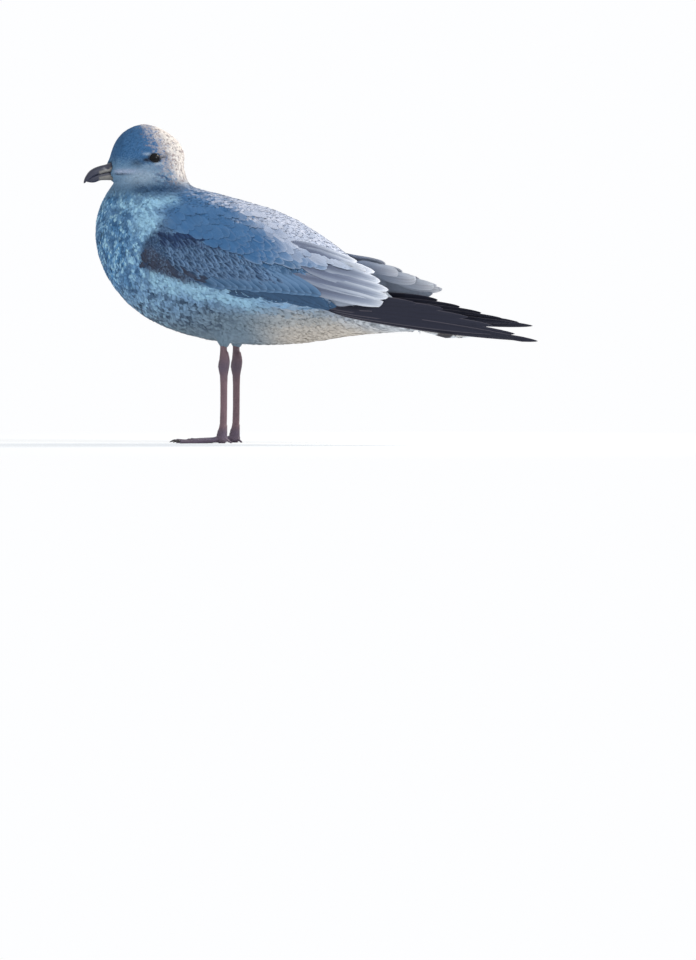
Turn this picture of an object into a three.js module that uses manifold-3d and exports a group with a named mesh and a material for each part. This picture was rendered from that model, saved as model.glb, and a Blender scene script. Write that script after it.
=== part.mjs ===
// A first-winter ring-billed gull, standing still with its wings folded.
import * as THREE from 'three';
import { LoftGeometry } from 'three/addons/geometries/LoftGeometry.js';
import { mergeVertices } from 'three/addons/utils/BufferGeometryUtils.js';
import Module from 'manifold-3d';

const wasm = await Module();
wasm.setup();

// Driving dimensions, in millimetres and degrees. The gull faces -X, its left
// side is -Y and its soles stand on z = 0. Ankles are above the point (0, 0).
const seam = 0.3;
const legSpacing = 40;
const ankleHeight = 70;
const headTurn = 42;
const skullX = -74.5;
const skullY = -8;
const eyeRadius = 6.3;
const eyeForward = 2.9;
const eyeAside = 14.8;
const eyeHeight = 254.5;
const farReach = 2000;
const weldDistance = 1e-4;

// Body stations from the tail coverts to the inside of the head. Each is a
// plane across the body: back x, back z, belly x, belly z, half width, middle y.
const bodyStations = [
  [170, 113, 171, 99.3, 19, 0],
  [160, 119, 158, 98.8, 23, 0],
  [146, 131, 140, 97.5, 28.5, 0],
  [126, 151, 115, 95.5, 35, 0],
  [104, 170, 92, 92, 41, 0],
  [80, 187, 65, 88.2, 47, 0],
  [52, 203, 35, 87, 52, 0],
  [25, 212, 5, 88, 55.5, 0],
  [0, 219, -25, 92.5, 56.5, 0],
  [-18, 223.5, -54, 100.5, 56.5, 0],
  [-30, 226.5, -79, 112.5, 55.5, 0],
  [-37, 229.5, -99, 129.5, 52.5, 0],
  [-41, 234, -113, 149, 48.5, 0],
  [-42.5, 240, -121.5, 171, 42, -0.5],
  [-43.5, 247, -123, 194, 34.5, -1.5],
  [-45.5, 254, -117.5, 213, 28.5, -3],
  [-50, 260, -107, 228, 24, -5.5],
  [-60, 262, -98, 238, 17, -7],
];
const bodyRows = 25;
const bodyPoints = 24;

// Head stations along the head's own axis, measured forward from the middle
// of the skull: forward, crown z, throat z, half width.
const headStations = [
  [-33.5, 262, 246, 8],
  [-30, 268, 239, 13],
  [-24, 273.5, 231.5, 16.8],
  [-15, 279, 226.5, 19.2],
  [-5, 282.7, 224.5, 19.9],
  [3, 283.7, 224.5, 19.7],
  [11, 282.2, 225.5, 18.8],
  [19, 278.5, 227.5, 17],
  [25, 273.5, 229, 14.8],
  [29, 268, 230.5, 12.6],
  [32, 261, 231.5, 10.2],
  [34, 254, 232, 8],
  [35.3, 248.5, 232.8, 6],
];
const headRows = 16;
const headPoints = 20;

// Bill stations along the same axis: forward, top z, bottom z, half width.
const upperBill = [
  [27, 252.5, 243, 5.2],
  [34, 249.6, 241.1, 4.6],
  [40, 247.3, 240.1, 4.0],
  [46, 245.9, 238.7, 3.5],
  [52, 243.9, 236.7, 3.0],
  [57, 240.3, 234.4, 2.3],
  [60, 235.8, 232.3, 1.6],
  [61.8, 231.6, 229.8, 0.7],
];
const lowerBill = [
  [27, 242.6, 234.5, 4.9],
  [34, 240.7, 233.2, 4.4],
  [40, 239.7, 233.3, 3.7],
  [46, 238.3, 233.2, 3.1],
  [51.5, 236.3, 231.1, 2.4],
  [56, 234.0, 231.4, 1.6],
  [58.5, 232.6, 231.8, 0.8],
];
const billRows = 11;
const billPoints = 10;

// Folded wing stations, from the bend back to the tertials. Each is a crescent
// across x: x, then y and z of its lower edge, middle and upper edge, thickness.
// Distances in y are outward from the middle of the bird.
const nearWing = [
  [-66, 47, 165, 49, 169, 47, 174, 3],
  [-63, 48, 158, 52, 168, 48, 180, 7],
  [-56, 49.5, 151, 55.5, 168, 47, 187, 10],
  [-38, 53, 143, 59, 166, 46.5, 193, 12],
  [-12, 55.5, 135.5, 60.5, 160, 47.5, 192, 13],
  [20, 54, 130.5, 60, 154, 47, 186, 13],
  [50, 50.5, 122, 57, 147, 44.5, 178, 12],
  [80, 44, 119, 51.2, 141, 38, 170, 11],
  [108, 39.5, 117.5, 44.5, 135, 29.5, 160, 9],
  [132, 34, 118.5, 36, 130, 19, 147, 7],
  [150, 27.5, 120, 28.5, 127, 17, 135, 4],
];
const farWing = [
  ...nearWing.slice(0, 8),
  [108, 38.5, 118, 45, 138, 24, 165, 9],
  [133, 34, 120, 37, 136, 17, 160.5, 8],
  [157, 27.5, 122.5, 29.5, 135, 13, 151.5, 6],
  [172, 22, 124, 25, 134, 13, 143.5, 4],
  [187, 19, 130, 21, 134.5, 14, 139, 2.5],
];
const wingRows = 18;
const wingEdgePoints = 7;
const crescentEdgeShare = 0.3;

// Primary stations, the long dark wing point: x, y and z of the lower edge,
// y and z of the upper edge, thickness.
const nearPrimaries = [
  [90, 41.5, 117.6, 43, 122, 3],
  [110, 37.5, 114.5, 38, 124, 4],
  [132, 32.5, 112, 30, 128, 5],
  [152, 28, 109, 22.5, 131, 5],
  [172, 25, 106.2, 17.5, 129, 5],
  [195, 22.5, 104.2, 14, 124, 4.5],
  [215, 19.5, 101.6, 11.5, 117, 4],
  [235, 16.5, 98.2, 10, 110.5, 3.4],
  [255, 13.5, 94.6, 9, 102.5, 2.8],
  [272, 11, 91.4, 8.5, 96.5, 2.2],
  [284, 9.5, 89.8, 9, 91.8, 1.4],
];
const farPrimaries = [
  [90, 41.5, 117.8, 43, 122, 3],
  [110, 37.5, 116, 38, 125, 4],
  [135, 32, 115, 29.5, 131, 5],
  [160, 27, 113.5, 20, 136, 5],
  [188, 22.5, 112.5, 13, 131.5, 5],
  [212, 17.5, 112, 9, 124.5, 4.2],
  [235, 13, 110.5, 6.5, 117.8, 3.4],
  [255, 9.5, 107, 5, 111.6, 2.6],
  [267, 7.5, 104.6, 5, 107.6, 2],
  [275, 6.5, 103.2, 6, 104.8, 1.4],
];
const primaryRows = 14;
const primaryEdgePoints = 5;
const primaryBulge = 0.6;

// Tail stations: x, middle z, half width, thickness, droop of the side edges.
const tailStations = [
  [136, 111.5, 12, 3.4, 2],
  [160, 109.3, 17, 3.4, 5],
  [182, 104.8, 23, 3, 8],
  [200, 100, 25.5, 2.6, 6],
  [211, 96.9, 25.5, 2.2, 4],
  [217.5, 95.1, 21, 1.8, 2.8],
  [221.5, 94, 12, 1.4, 1],
];
const tailRows = 12;
const tailPoints = 8;
const tailEdgeShare = 0.35;

// Legs and feet. The bare leg: z, middle x, half depth, half width.
const legStations = [
  [9.2, -1.4, 4.4, 3.2],
  [14, -0.6, 3.6, 2.7],
  [22, 0.1, 3.3, 2.5],
  [48, 0.3, 3.3, 2.5],
  [60, 0.3, 3.7, 2.8],
  [65, 0.2, 4.8, 3.4],
  [ankleHeight, 0.4, 5.5, 3.9],
  [75, 1.2, 4.8, 3.5],
  [80.7, 1.2, 4.3, 3.3],
];
const thighStations = [
  [81, 1.2, 4.8, 3.9],
  [85, 1.1, 6, 5.2],
  [90, 0.8, 8.4, 7.4],
  [97, 0.5, 11.5, 10],
  [108, 0, 12, 11],
];
const legRows = 11;
const thighRows = 6;
const legPoints = 10;
const heelX = -1.5;
const toes = [
  { name: 'inner', angle: -25, length: 33, radius: 2.5 },
  { name: 'middle', angle: 3, length: 41.5, radius: 2.8 },
  { name: 'outer', angle: 29, length: 38, radius: 2.6 },
];
const toeRows = 6;
const toePoints = 7;
const toeTipScale = 0.72;
const toeRise = 2;
const toeKnuckles = 3;
const knuckleSwell = 0.1;
const padSink = 0.45;
const webUnderside = 0.7;
const webThickness = 1.4;
const webReach = 0.93;
const webHollow = 0.86;
const knuckleSize = [5.6, 4.6, 4.4];

// Claws and the small hind toe: distance along, height and radius.
const clawRings = [
  [0, 2.2, 1.5],
  [2.1, 2.3, 1.2],
  [4.2, 1.7, 0.75],
  [6, 0.8, 0.3],
];
const hindToeHeading = [0.9, -0.44];
const hindToeRings = [
  [0, 5, 2.1],
  [3.6, 3.6, 1.6],
  [7, 1.5, 1.2],
  [9.2, 0.3, 0.7],
];

// Planes that part head, neck and trunk: a point on each plane and its tilt.
const throatPlane = { x: -74, z: 235, tilt: -16 };
const collarPlane = { x: -80, z: 210, tilt: -24 };

const plumage = { roughness: 0.85, metalness: 0 };
const greyPlumage = new THREE.MeshStandardMaterial({ color: 0x9aa4ad, ...plumage });
const palePlumage = new THREE.MeshStandardMaterial({ color: 0xd9d8d3, ...plumage });
const darkPlumage = new THREE.MeshStandardMaterial({ color: 0x2c2725, ...plumage });
const tailPlumage = new THREE.MeshStandardMaterial({ color: 0xcfcdc8, ...plumage });
const hornDark = new THREE.MeshStandardMaterial({ color: 0x2a2624, roughness: 0.45, metalness: 0 });
const hornPale = new THREE.MeshStandardMaterial({ color: 0xb59a8a, roughness: 0.5, metalness: 0 });
const legSkin = new THREE.MeshStandardMaterial({ color: 0x9a7468, roughness: 0.6, metalness: 0 });
const eyeDark = new THREE.MeshStandardMaterial({ color: 0x17110d, roughness: 0.08, metalness: 0 });

const radians = THREE.MathUtils.degToRad;

// The geometry as a closed solid that can be joined and cut.
function toSolid(geometry) {
  const plain = new THREE.BufferGeometry();
  plain.setAttribute('position', geometry.attributes.position);
  plain.setIndex(geometry.index);
  const merged = mergeVertices(plain, weldDistance);
  const corners = merged.index.array;
  const faces = [];
  for (let first = 0; first < corners.length; first += 3) {
    const face = Array.from(corners.slice(first, first + 3));
    if (new Set(face).size === 3) faces.push(...face);
  }
  return new wasm.Manifold(new wasm.Mesh({
    numProp: 3,
    vertProperties: new Float32Array(merged.attributes.position.array),
    triVerts: new Uint32Array(faces),
  }));
}

function toMesh(name, solid, material) {
  const cut = solid.getMesh();
  const geometry = new THREE.BufferGeometry();
  geometry.setAttribute('position', new THREE.BufferAttribute(new Float32Array(cut.vertProperties), 3));
  geometry.setIndex(new THREE.BufferAttribute(new Uint32Array(cut.triVerts), 1));
  geometry.computeVertexNormals();
  const mesh = new THREE.Mesh(geometry, material);
  mesh.name = name;
  return mesh;
}

// A ring's middle, repeated, which closes the end of a loft at one point.
function pole(ring) {
  const centre = ring.reduce((sum, point) => sum.add(point), new THREE.Vector3()).divideScalar(ring.length);
  return ring.map(() => centre);
}

// Solid through a list of rings; mirrored rings are turned to face outward.
function loft(rings, mirrored = false) {
  const ordered = mirrored ? rings.map((ring) => [...ring].reverse()) : rings;
  return toSolid(new LoftGeometry([pole(ordered[0]), ...ordered, pole(ordered[ordered.length - 1])]));
}

// Smooth rows between stations: every column of the table is interpolated.
function smoothRows(stations, rows) {
  const columns = stations[0].map((_, column) => new THREE.CatmullRomCurve3(
    stations.map((station, index) => new THREE.Vector3(index, station[column], 0)),
    false,
    'catmullrom',
    0.5,
  ));
  return Array.from({ length: rows }, (_, row) => columns.map((curve) => curve.getPoint(row / (rows - 1)).y));
}

// A ring round a plane that runs from a low point to a high point.
function planeRing(low, high, middleY, halfWidth, points) {
  return Array.from({ length: points }, (_, index) => {
    const angle = (index / points) * 2 * Math.PI;
    const along = (1 + Math.sin(angle)) / 2;
    return new THREE.Vector3(
      low[0] + (high[0] - low[0]) * along,
      middleY + halfWidth * Math.cos(angle),
      low[1] + (high[1] - low[1]) * along,
    );
  });
}

function bodySolid() {
  return loft(smoothRows(bodyStations, bodyRows).map(([backX, backZ, bellyX, bellyZ, half, middle]) => (
    planeRing([bellyX, bellyZ], [backX, backZ], middle, half, bodyPoints)
  )), true);
}

// Head and bill sections stand across the head's own axis, which is then turned.
function headLoft(stations, rows, points, grow = 0) {
  const pose = new THREE.Matrix4().makeRotationZ(radians(headTurn));
  pose.setPosition(skullX, skullY, 0);
  const rings = smoothRows(stations, rows).map(([forward, top, bottom, half]) => (
    planeRing([-forward, bottom - grow], [-forward, top + grow], 0, half + grow, points)
      .map((point) => point.applyMatrix4(pose))
  ));
  return loft(rings, true);
}

function eyeSolid(side, grow = 0) {
  const geometry = new THREE.SphereGeometry(eyeRadius + grow, 12, 9);
  geometry.rotateX(Math.PI / 2);
  geometry.translate(-eyeForward, side * eyeAside, eyeHeight);
  geometry.rotateZ(radians(headTurn));
  geometry.translate(skullX, skullY, 0);
  return toSolid(geometry);
}

// A crescent across x, through three points, thickest in the middle.
function crescentRing({ x, knots, thickness }, side, edgePoints, grow) {
  const curve = new THREE.CatmullRomCurve3(knots.map(([y, z]) => new THREE.Vector3(0, y, z)));
  const outer = [];
  const inner = [];
  for (let index = 0; index < edgePoints; index += 1) {
    const along = index / (edgePoints - 1);
    const point = curve.getPoint(along);
    const tangent = curve.getTangent(along);
    const spread = (2 * along - 1) * grow;
    const swell = thickness * THREE.MathUtils.lerp(crescentEdgeShare, 1, Math.sin(Math.PI * along));
    const y = point.y + tangent.y * spread;
    const z = point.z + tangent.z * spread;
    outer.push(new THREE.Vector3(x, side * (y + tangent.z * grow), z - tangent.y * grow));
    inner.push(new THREE.Vector3(
      x,
      side * (y - tangent.z * (swell + grow)),
      z + tangent.y * (swell + grow),
    ));
  }
  return [...outer, ...inner.reverse()];
}

function crescentLoft(rows, side, edgePoints, grow) {
  const rings = rows.map((row) => crescentRing(row, side, edgePoints, grow));
  rings[0].forEach((point) => { point.x -= grow; });
  rings[rings.length - 1].forEach((point) => { point.x += grow; });
  return loft(rings, side < 0);
}

function wingSolid(stations, side, grow = 0) {
  const rows = smoothRows(stations, wingRows).map(([x, lowY, lowZ, midY, midZ, highY, highZ, thickness]) => (
    { x, knots: [[lowY, lowZ], [midY, midZ], [highY, highZ]], thickness }
  ));
  return crescentLoft(rows, side, wingEdgePoints, grow);
}

function primariesSolid(stations, side, grow = 0) {
  const rows = smoothRows(stations, primaryRows).map(([x, lowY, lowZ, highY, highZ, thickness]) => {
    const middle = [(lowY + highY) / 2 + primaryBulge, (lowZ + highZ) / 2];
    return { x, knots: [[lowY, lowZ], middle, [highY, highZ]], thickness };
  });
  return crescentLoft(rows, side, primaryEdgePoints, grow);
}

// The folded tail: a thin fan whose outer feathers hang lower than the middle.
function tailSolid(grow = 0) {
  const rings = smoothRows(tailStations, tailRows).map(([x, middleZ, half, thickness, droop]) => {
    const spread = Array.from({ length: tailPoints }, (_, index) => (2 * index) / (tailPoints - 1) - 1);
    const place = (across, lift) => {
      const thin = thickness * THREE.MathUtils.lerp(tailEdgeShare, 1, Math.sqrt(1 - across * across));
      const z = middleZ - droop * across * across + lift * (thin / 2 + grow);
      return new THREE.Vector3(x, across * (half + grow), z);
    };
    const under = spread.map((across) => place(across, -1));
    const over = spread.map((across) => place(across, 1));
    return [...under, ...over.reverse()];
  });
  return loft(rings);
}

// A limb piece whose sections are level ellipses.
function limbSolid(stations, rows, side, grow = 0) {
  const middleY = (side * legSpacing) / 2;
  const rings = smoothRows(stations, rows).map(([z, x, depth, width]) => (
    Array.from({ length: legPoints }, (_, index) => {
      const angle = (index / legPoints) * 2 * Math.PI;
      const across = middleY + (width + grow) * Math.sin(angle);
      return new THREE.Vector3(x + (depth + grow) * Math.cos(angle), across, z);
    })
  ));
  rings[0].forEach((point) => { point.z -= grow; });
  return loft(rings);
}

// A box that fills everything on one side of a tilted plane across the neck.
function halfSpace({ x, z, tilt }, facing) {
  const block = new THREE.BoxGeometry(farReach, farReach, farReach);
  block.translate(0, 0, facing * (farReach / 2 + seam / 2));
  block.rotateY(radians(tilt));
  block.translate(x, 0, z);
  return toSolid(block);
}

// Where the toes of one foot meet, at floor level.
function heel(side) {
  return new THREE.Vector3(heelX, (side * legSpacing) / 2, 0);
}

// Horizontal direction of a toe; the outer side of the foot is side * y.
function toeDirection(angle, side) {
  return new THREE.Vector3(-Math.cos(radians(angle)), side * Math.sin(radians(angle)), 0);
}

// A tapering round rod through rings that stand across a heading.
function rodSolid(origin, heading, rows) {
  const aside = new THREE.Vector3(-heading.y, heading.x, 0);
  const rings = rows.map(([along, height, radius]) => (
    Array.from({ length: toePoints }, (_, index) => {
      const angle = (index / toePoints) * 2 * Math.PI;
      return origin.clone()
        .addScaledVector(heading, along)
        .addScaledVector(aside, radius * Math.cos(angle))
        .add(new THREE.Vector3(0, 0, height + radius * Math.sin(angle)));
    })
  ));
  return loft(rings);
}

function toeSolid({ angle, length, radius }, side) {
  const rows = Array.from({ length: toeRows }, (_, row) => {
    const along = row / (toeRows - 1);
    const swell = knuckleSwell * Math.cos(along * toeKnuckles * 2 * Math.PI);
    const size = radius * (THREE.MathUtils.lerp(1, toeTipScale, along) + swell);
    return [along * length, size - padSink + toeRise * (1 - along) ** 3, size];
  });
  return rodSolid(heel(side), toeDirection(angle, side), rows);
}

function clawSolid({ angle, length }, side) {
  const rows = clawRings.map(([along, height, radius]) => [length + seam + along, height, radius]);
  return rodSolid(heel(side), toeDirection(angle, side), rows);
}

// The skin between the toes, with a hollow edge from toe to toe.
function webSolid(side) {
  const tips = toes.map(({ angle, length }) => (
    toeDirection(angle, side).multiplyScalar(length * webReach).add(heel(side))
  ));
  const outline = new THREE.Shape();
  outline.moveTo(0, heel(side).y);
  outline.lineTo(tips[0].x, tips[0].y);
  for (let index = 1; index < tips.length; index += 1) {
    const middle = tips[index - 1].clone().lerp(tips[index], 0.5).sub(heel(side));
    middle.multiplyScalar(webHollow).add(heel(side));
    outline.quadraticCurveTo(middle.x, middle.y, tips[index].x, tips[index].y);
  }
  outline.closePath();
  const plate = { depth: webThickness, bevelEnabled: false, curveSegments: 5 };
  const web = new THREE.ExtrudeGeometry(outline, plate);
  web.translate(0, 0, webUnderside);
  return toSolid(web);
}

function footSolid(side) {
  const knuckle = new THREE.SphereGeometry(1, 10, 6);
  knuckle.rotateX(Math.PI / 2);
  knuckle.scale(...knuckleSize);
  knuckle.translate(heelX, heel(side).y, knuckleSize[2] - padSink);
  const backward = new THREE.Vector3(hindToeHeading[0], side * hindToeHeading[1], 0).normalize();
  const hindToe = rodSolid(heel(side), backward, hindToeRings);
  const ground = new THREE.BoxGeometry(farReach, farReach, farReach);
  ground.translate(0, 0, -farReach / 2);
  const whole = toes.reduce(
    (solid, toe) => solid.add(toeSolid(toe, side)),
    toSolid(knuckle).add(webSolid(side)).add(hindToe),
  );
  return whole.subtract(toSolid(ground));
}

const gull = new THREE.Group();
const sides = [
  { name: 'left', side: -1, wing: nearWing, primaries: nearPrimaries },
  { name: 'right', side: 1, wing: farWing, primaries: farPrimaries },
];

// Feathered body: one shape from rump to crown, parted at throat and collar.
const bill = { upper: upperBill, lower: lowerBill };
let whole = bodySolid().add(headLoft(headStations, headRows, headPoints));
whole = whole.subtract(tailSolid(seam));
Object.values(bill).forEach((stations) => {
  whole = whole.subtract(headLoft(stations, billRows, billPoints, seam));
});
sides.forEach(({ side, wing, primaries }) => {
  whole = whole
    .subtract(wingSolid(wing, side, seam))
    .subtract(primariesSolid(primaries, side, seam))
    .subtract(limbSolid(thighStations, thighRows, side, seam))
    .subtract(eyeSolid(side, seam));
});
const aboveThroat = halfSpace(throatPlane, 1);
const belowThroat = halfSpace(throatPlane, -1);
const aboveCollar = halfSpace(collarPlane, 1);
const belowCollar = halfSpace(collarPlane, -1);
gull.add(toMesh('head', whole.intersect(aboveThroat), palePlumage));
gull.add(toMesh('neck', whole.intersect(belowThroat).intersect(aboveCollar), palePlumage));
gull.add(toMesh('trunk', whole.intersect(belowCollar), palePlumage));
gull.add(toMesh('bill_upper', headLoft(bill.upper, billRows, billPoints), hornDark));
gull.add(toMesh('bill_lower', headLoft(bill.lower, billRows, billPoints), hornPale));
gull.add(toMesh('tail', tailSolid(), tailPlumage));

sides.forEach(({ name, side, wing, primaries }) => {
  const wingPoint = primariesSolid(primaries, side);
  const folded = wingSolid(wing, side).subtract(primariesSolid(primaries, side, seam));
  gull.add(toMesh(`eye_${name}`, eyeSolid(side), eyeDark));
  gull.add(toMesh(`wing_${name}`, folded, greyPlumage));
  gull.add(toMesh(`primaries_${name}`, wingPoint, darkPlumage));
  gull.add(toMesh(`thigh_${name}`, limbSolid(thighStations, thighRows, side), palePlumage));
  gull.add(toMesh(`leg_${name}`, limbSolid(legStations, legRows, side), legSkin));
  gull.add(toMesh(`foot_${name}`, footSolid(side), legSkin));
  toes.forEach((toe) => {
    gull.add(toMesh(`claw_${name}_${toe.name}`, clawSolid(toe, side), hornDark));
  });
});

// The origin is on the floor, under the middle of the gull's length and width.
const middle = new THREE.Box3().setFromObject(gull).getCenter(new THREE.Vector3());
gull.position.set(-middle.x, -middle.y, 0);

export default gull;
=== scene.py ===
import math
import bpy
import numpy as np
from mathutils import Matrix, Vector
from mathutils.bvhtree import BVHTree


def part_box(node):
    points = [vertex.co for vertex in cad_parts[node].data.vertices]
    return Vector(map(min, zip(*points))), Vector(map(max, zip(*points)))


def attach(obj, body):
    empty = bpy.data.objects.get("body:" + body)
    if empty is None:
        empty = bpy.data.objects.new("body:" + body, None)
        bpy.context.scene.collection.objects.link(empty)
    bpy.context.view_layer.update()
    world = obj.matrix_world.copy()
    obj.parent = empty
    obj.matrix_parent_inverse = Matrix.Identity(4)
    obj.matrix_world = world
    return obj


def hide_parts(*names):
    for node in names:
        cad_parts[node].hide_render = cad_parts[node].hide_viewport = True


# A young ring-billed gull, standing. Lengths in the tables are in millimetres,
# measured from the point on the floor between the ankles; the gull faces -X.
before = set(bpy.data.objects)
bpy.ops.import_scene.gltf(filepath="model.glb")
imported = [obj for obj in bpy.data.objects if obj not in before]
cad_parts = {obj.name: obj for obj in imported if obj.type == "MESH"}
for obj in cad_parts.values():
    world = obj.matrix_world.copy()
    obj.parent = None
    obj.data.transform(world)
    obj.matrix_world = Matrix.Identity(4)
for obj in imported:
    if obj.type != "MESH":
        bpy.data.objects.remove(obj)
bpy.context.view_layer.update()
print("stage: frame loaded")

mm = 0.001
legLow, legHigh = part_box("leg_left")
originX = (legLow.x + legHigh.x) / 2
origin = np.array([originX, 0.0, 0.0])
chance = np.random.default_rng(11)


def place(points):
    # Table millimetres to metres in the frame.
    return np.asarray(points, float) * mm + origin


def linear(red, green, blue):
    # A written colour, 0 to 255, as the shader wants it.
    values = np.array([red, green, blue]) / 255
    return np.where(values <= 0.04045, values / 12.92, ((values + 0.055) / 1.055) ** 2.4)


def unit(vectors):
    length = np.linalg.norm(vectors, axis=-1, keepdims=True)
    return vectors / np.maximum(length, 1e-12)


def deselect():
    if bpy.context.mode != "OBJECT":
        bpy.ops.object.mode_set(mode="OBJECT")
    bpy.ops.object.select_all(action="DESELECT")


def activate(piece):
    deselect()
    piece.select_set(True)
    bpy.context.view_layer.objects.active = piece


def editAll(piece, operator, **values):
    # One edit-mode operator on the whole of a piece.
    activate(piece)
    bpy.ops.object.mode_set(mode="EDIT")
    bpy.ops.mesh.select_all(action="SELECT")
    operator(**values)
    bpy.ops.object.mode_set(mode="OBJECT")


def applyModifiers(piece):
    activate(piece)
    for modifier in list(piece.modifiers):
        bpy.ops.object.modifier_apply(modifier=modifier.name)


def readAll(rows, field, width=3, kind=float):
    found = np.empty(len(rows) * width, kind)
    rows.foreach_get(field, found)
    return found.reshape(-1, width)


def points(mesh):
    return readAll(mesh.vertices, "co")


def normals(mesh):
    return readAll(mesh.vertex_normals, "vector")


def setPoints(mesh, values):
    mesh.vertices.foreach_set("co", np.asarray(values, float).ravel())
    mesh.update()


def store(mesh, name, values, kind="FLOAT", field="value", domain="POINT"):
    mesh.attributes.new(name, kind, domain).data.foreach_set(field, values.ravel())


def newObject(name, data):
    made = bpy.data.objects.new(name, data)
    bpy.context.scene.collection.objects.link(made)
    return made


def nodeCopy(name, newName, weld=0.00001):
    # A CAD node's shape in a new piece, with its loose triangles joined.
    piece = newObject(newName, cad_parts[name].data.copy())
    piece.data.materials.clear()
    editAll(piece, bpy.ops.mesh.remove_doubles, threshold=weld)
    return piece


def joinPieces(pieces, name):
    deselect()
    for piece in pieces:
        piece.select_set(True)
    bpy.context.view_layer.objects.active = pieces[0]
    bpy.ops.object.join()
    pieces[0].name = name
    pieces[0].data.name = name
    return pieces[0]


def settle(piece, slotName, *replaced):
    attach(piece, "root")
    if replaced:
        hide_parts(*replaced)


def feed(tree, socket, value):
    # A result is linked; a number or a colour is set on the socket itself.
    if isinstance(value, bpy.types.NodeSocket):
        tree.links.new(value, socket)
    elif isinstance(value, (int, float)):
        socket.default_value = value
    else:
        socket.default_value = (*[float(part) for part in value[:3]], 1)


def addNode(tree, kind, given=(), **settings):
    node = tree.nodes.new("ShaderNode" + kind)
    for name, value in settings.items():
        setattr(node, name, value)
    for socket, value in dict(given).items():
        feed(tree, node.inputs[socket], value)
    return node.outputs


def doMath(tree, operation, left, right=0.5, clamp=False):
    return addNode(tree, "Math", {0: left, 1: right}, operation=operation, use_clamp=clamp)[0]


def times(tree, left, right, clamp=False):
    return doMath(tree, "MULTIPLY", left, right, clamp)


def plus(tree, left, right):
    return doMath(tree, "ADD", left, right)


def minus(tree, left, right):
    return doMath(tree, "SUBTRACT", left, right)


def rampNode(tree, value, low, high):
    return addNode(tree, "MapRange", {"Value": value, "From Min": low, "From Max": high},
                   interpolation_type="SMOOTHSTEP")[0]


def mixNode(tree, share, left, right, kind="MIX"):
    return addNode(tree, "Mix", {0: share, 6: left, 7: right}, data_type="RGBA", blend_type=kind)[2]


def shaded(tree, colour, tone):
    # The colour made lighter or darker by a plain number.
    grey = addNode(tree, "CombineColor", {0: tone, 1: tone, 2: tone})[0]
    return mixNode(tree, 1.0, colour, grey, "MULTIPLY")


def spotNode(tree):
    return addNode(tree, "TexCoord")["Object"]


def noiseNode(tree, scale, detail=2.0):
    return addNode(tree, "TexNoise", {"Vector": spotNode(tree), "Scale": scale, "Detail": detail})["Fac"]


def readNode(tree, name):
    return addNode(tree, "Attribute", attribute_name=name)


def newMaterial(name):
    material = bpy.data.materials.new(name)
    material.use_nodes = True
    return material, material.node_tree


def finishMaterial(material, colour, roughness, relief=None, depth=0.0, step=0.0002, extra=()):
    # Sets the shader from its colour, its roughness and a relief that is bumped by depth.
    tree = material.node_tree
    given = {"Base Color": colour, "Roughness": roughness, **dict(extra)}
    if relief is not None:
        given["Normal"] = addNode(tree, "Bump", {"Strength": depth, "Distance": step, "Height": relief})[0]
    for socket, value in given.items():
        feed(tree, tree.nodes["Principled BSDF"].inputs[socket], value)
    return material


# Camera, floor and light.
view = {
    "turn": 15.0,
    "lift": 1.4,
    "distance": 5.0,
    "lens": 210.8,
    "aimAcross": 105.0,
    "aimHeight": -33.0,
}
studio = {
    "floorColour": (0.93, 0.94, 0.95),
    "floorSize": 30,
    "floorFade": (0.10, 0.75),
    "floorGlow": 0.45,
    "backdrop": (0.985, 0.99, 1.0),
    "ambient": 0.55,
    "ambientColour": (0.86, 0.93, 1.0),
    "target": (0, 0, 0.16),
    # each light: metres across, away and up from the target, size, power, colour, seen in gloss
    "lights": {
        "sunLight": (1.3, 1.1, 1.5, 0.7, 40.0, (1.0, 0.93, 0.84), True),
        "fillLight": (-1.2, -1.9, 1.3, 1.8, 8.0, (0.90, 0.95, 1.0), False),
        "eyeLight": (1.85, -1.2, 1.35, 0.7, 30.0, (0.90, 0.95, 1.0), True),
    },
}
viewTurn = math.radians(view["turn"])
viewAcross = Vector((math.cos(viewTurn), math.sin(viewTurn), 0))
viewAway = Vector((-math.sin(viewTurn), math.cos(viewTurn), 0))


def face(thing, way):
    thing.rotation_euler = way.to_track_quat("-Z", "Y").to_euler()


def makeCamera():
    lift = math.radians(view["lift"])
    level, height = math.cos(lift), math.sin(lift)
    back = Vector((math.sin(viewTurn) * level, -math.cos(viewTurn) * level, height))
    rise = Vector((0, 0, view["aimHeight"] * mm))
    aim = Vector((originX, 0, 0)) + viewAcross * view["aimAcross"] * mm + rise
    data = bpy.data.cameras.new("camera")
    data.lens = view["lens"]
    data.sensor_width = 36
    data.clip_end = 100
    camera = newObject("camera", data)
    camera.location = aim + back * view["distance"]
    face(camera, -back)
    bpy.context.scene.camera = camera
    print("stage: camera at height", round(camera.location.z, 3))


def makeLight(name, across, away, up, size, power, colour, mirrored):
    data = bpy.data.lights.new(name, "AREA")
    data.shape = "DISK"
    data.size = size
    data.energy = power
    data.color = colour
    light = newObject(name, data)
    light.visible_glossy = mirrored
    target = Vector(studio["target"])
    spot = target + viewAcross * across + viewAway * away + Vector((0, 0, up))
    light.location = spot
    face(light, target - spot)


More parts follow.
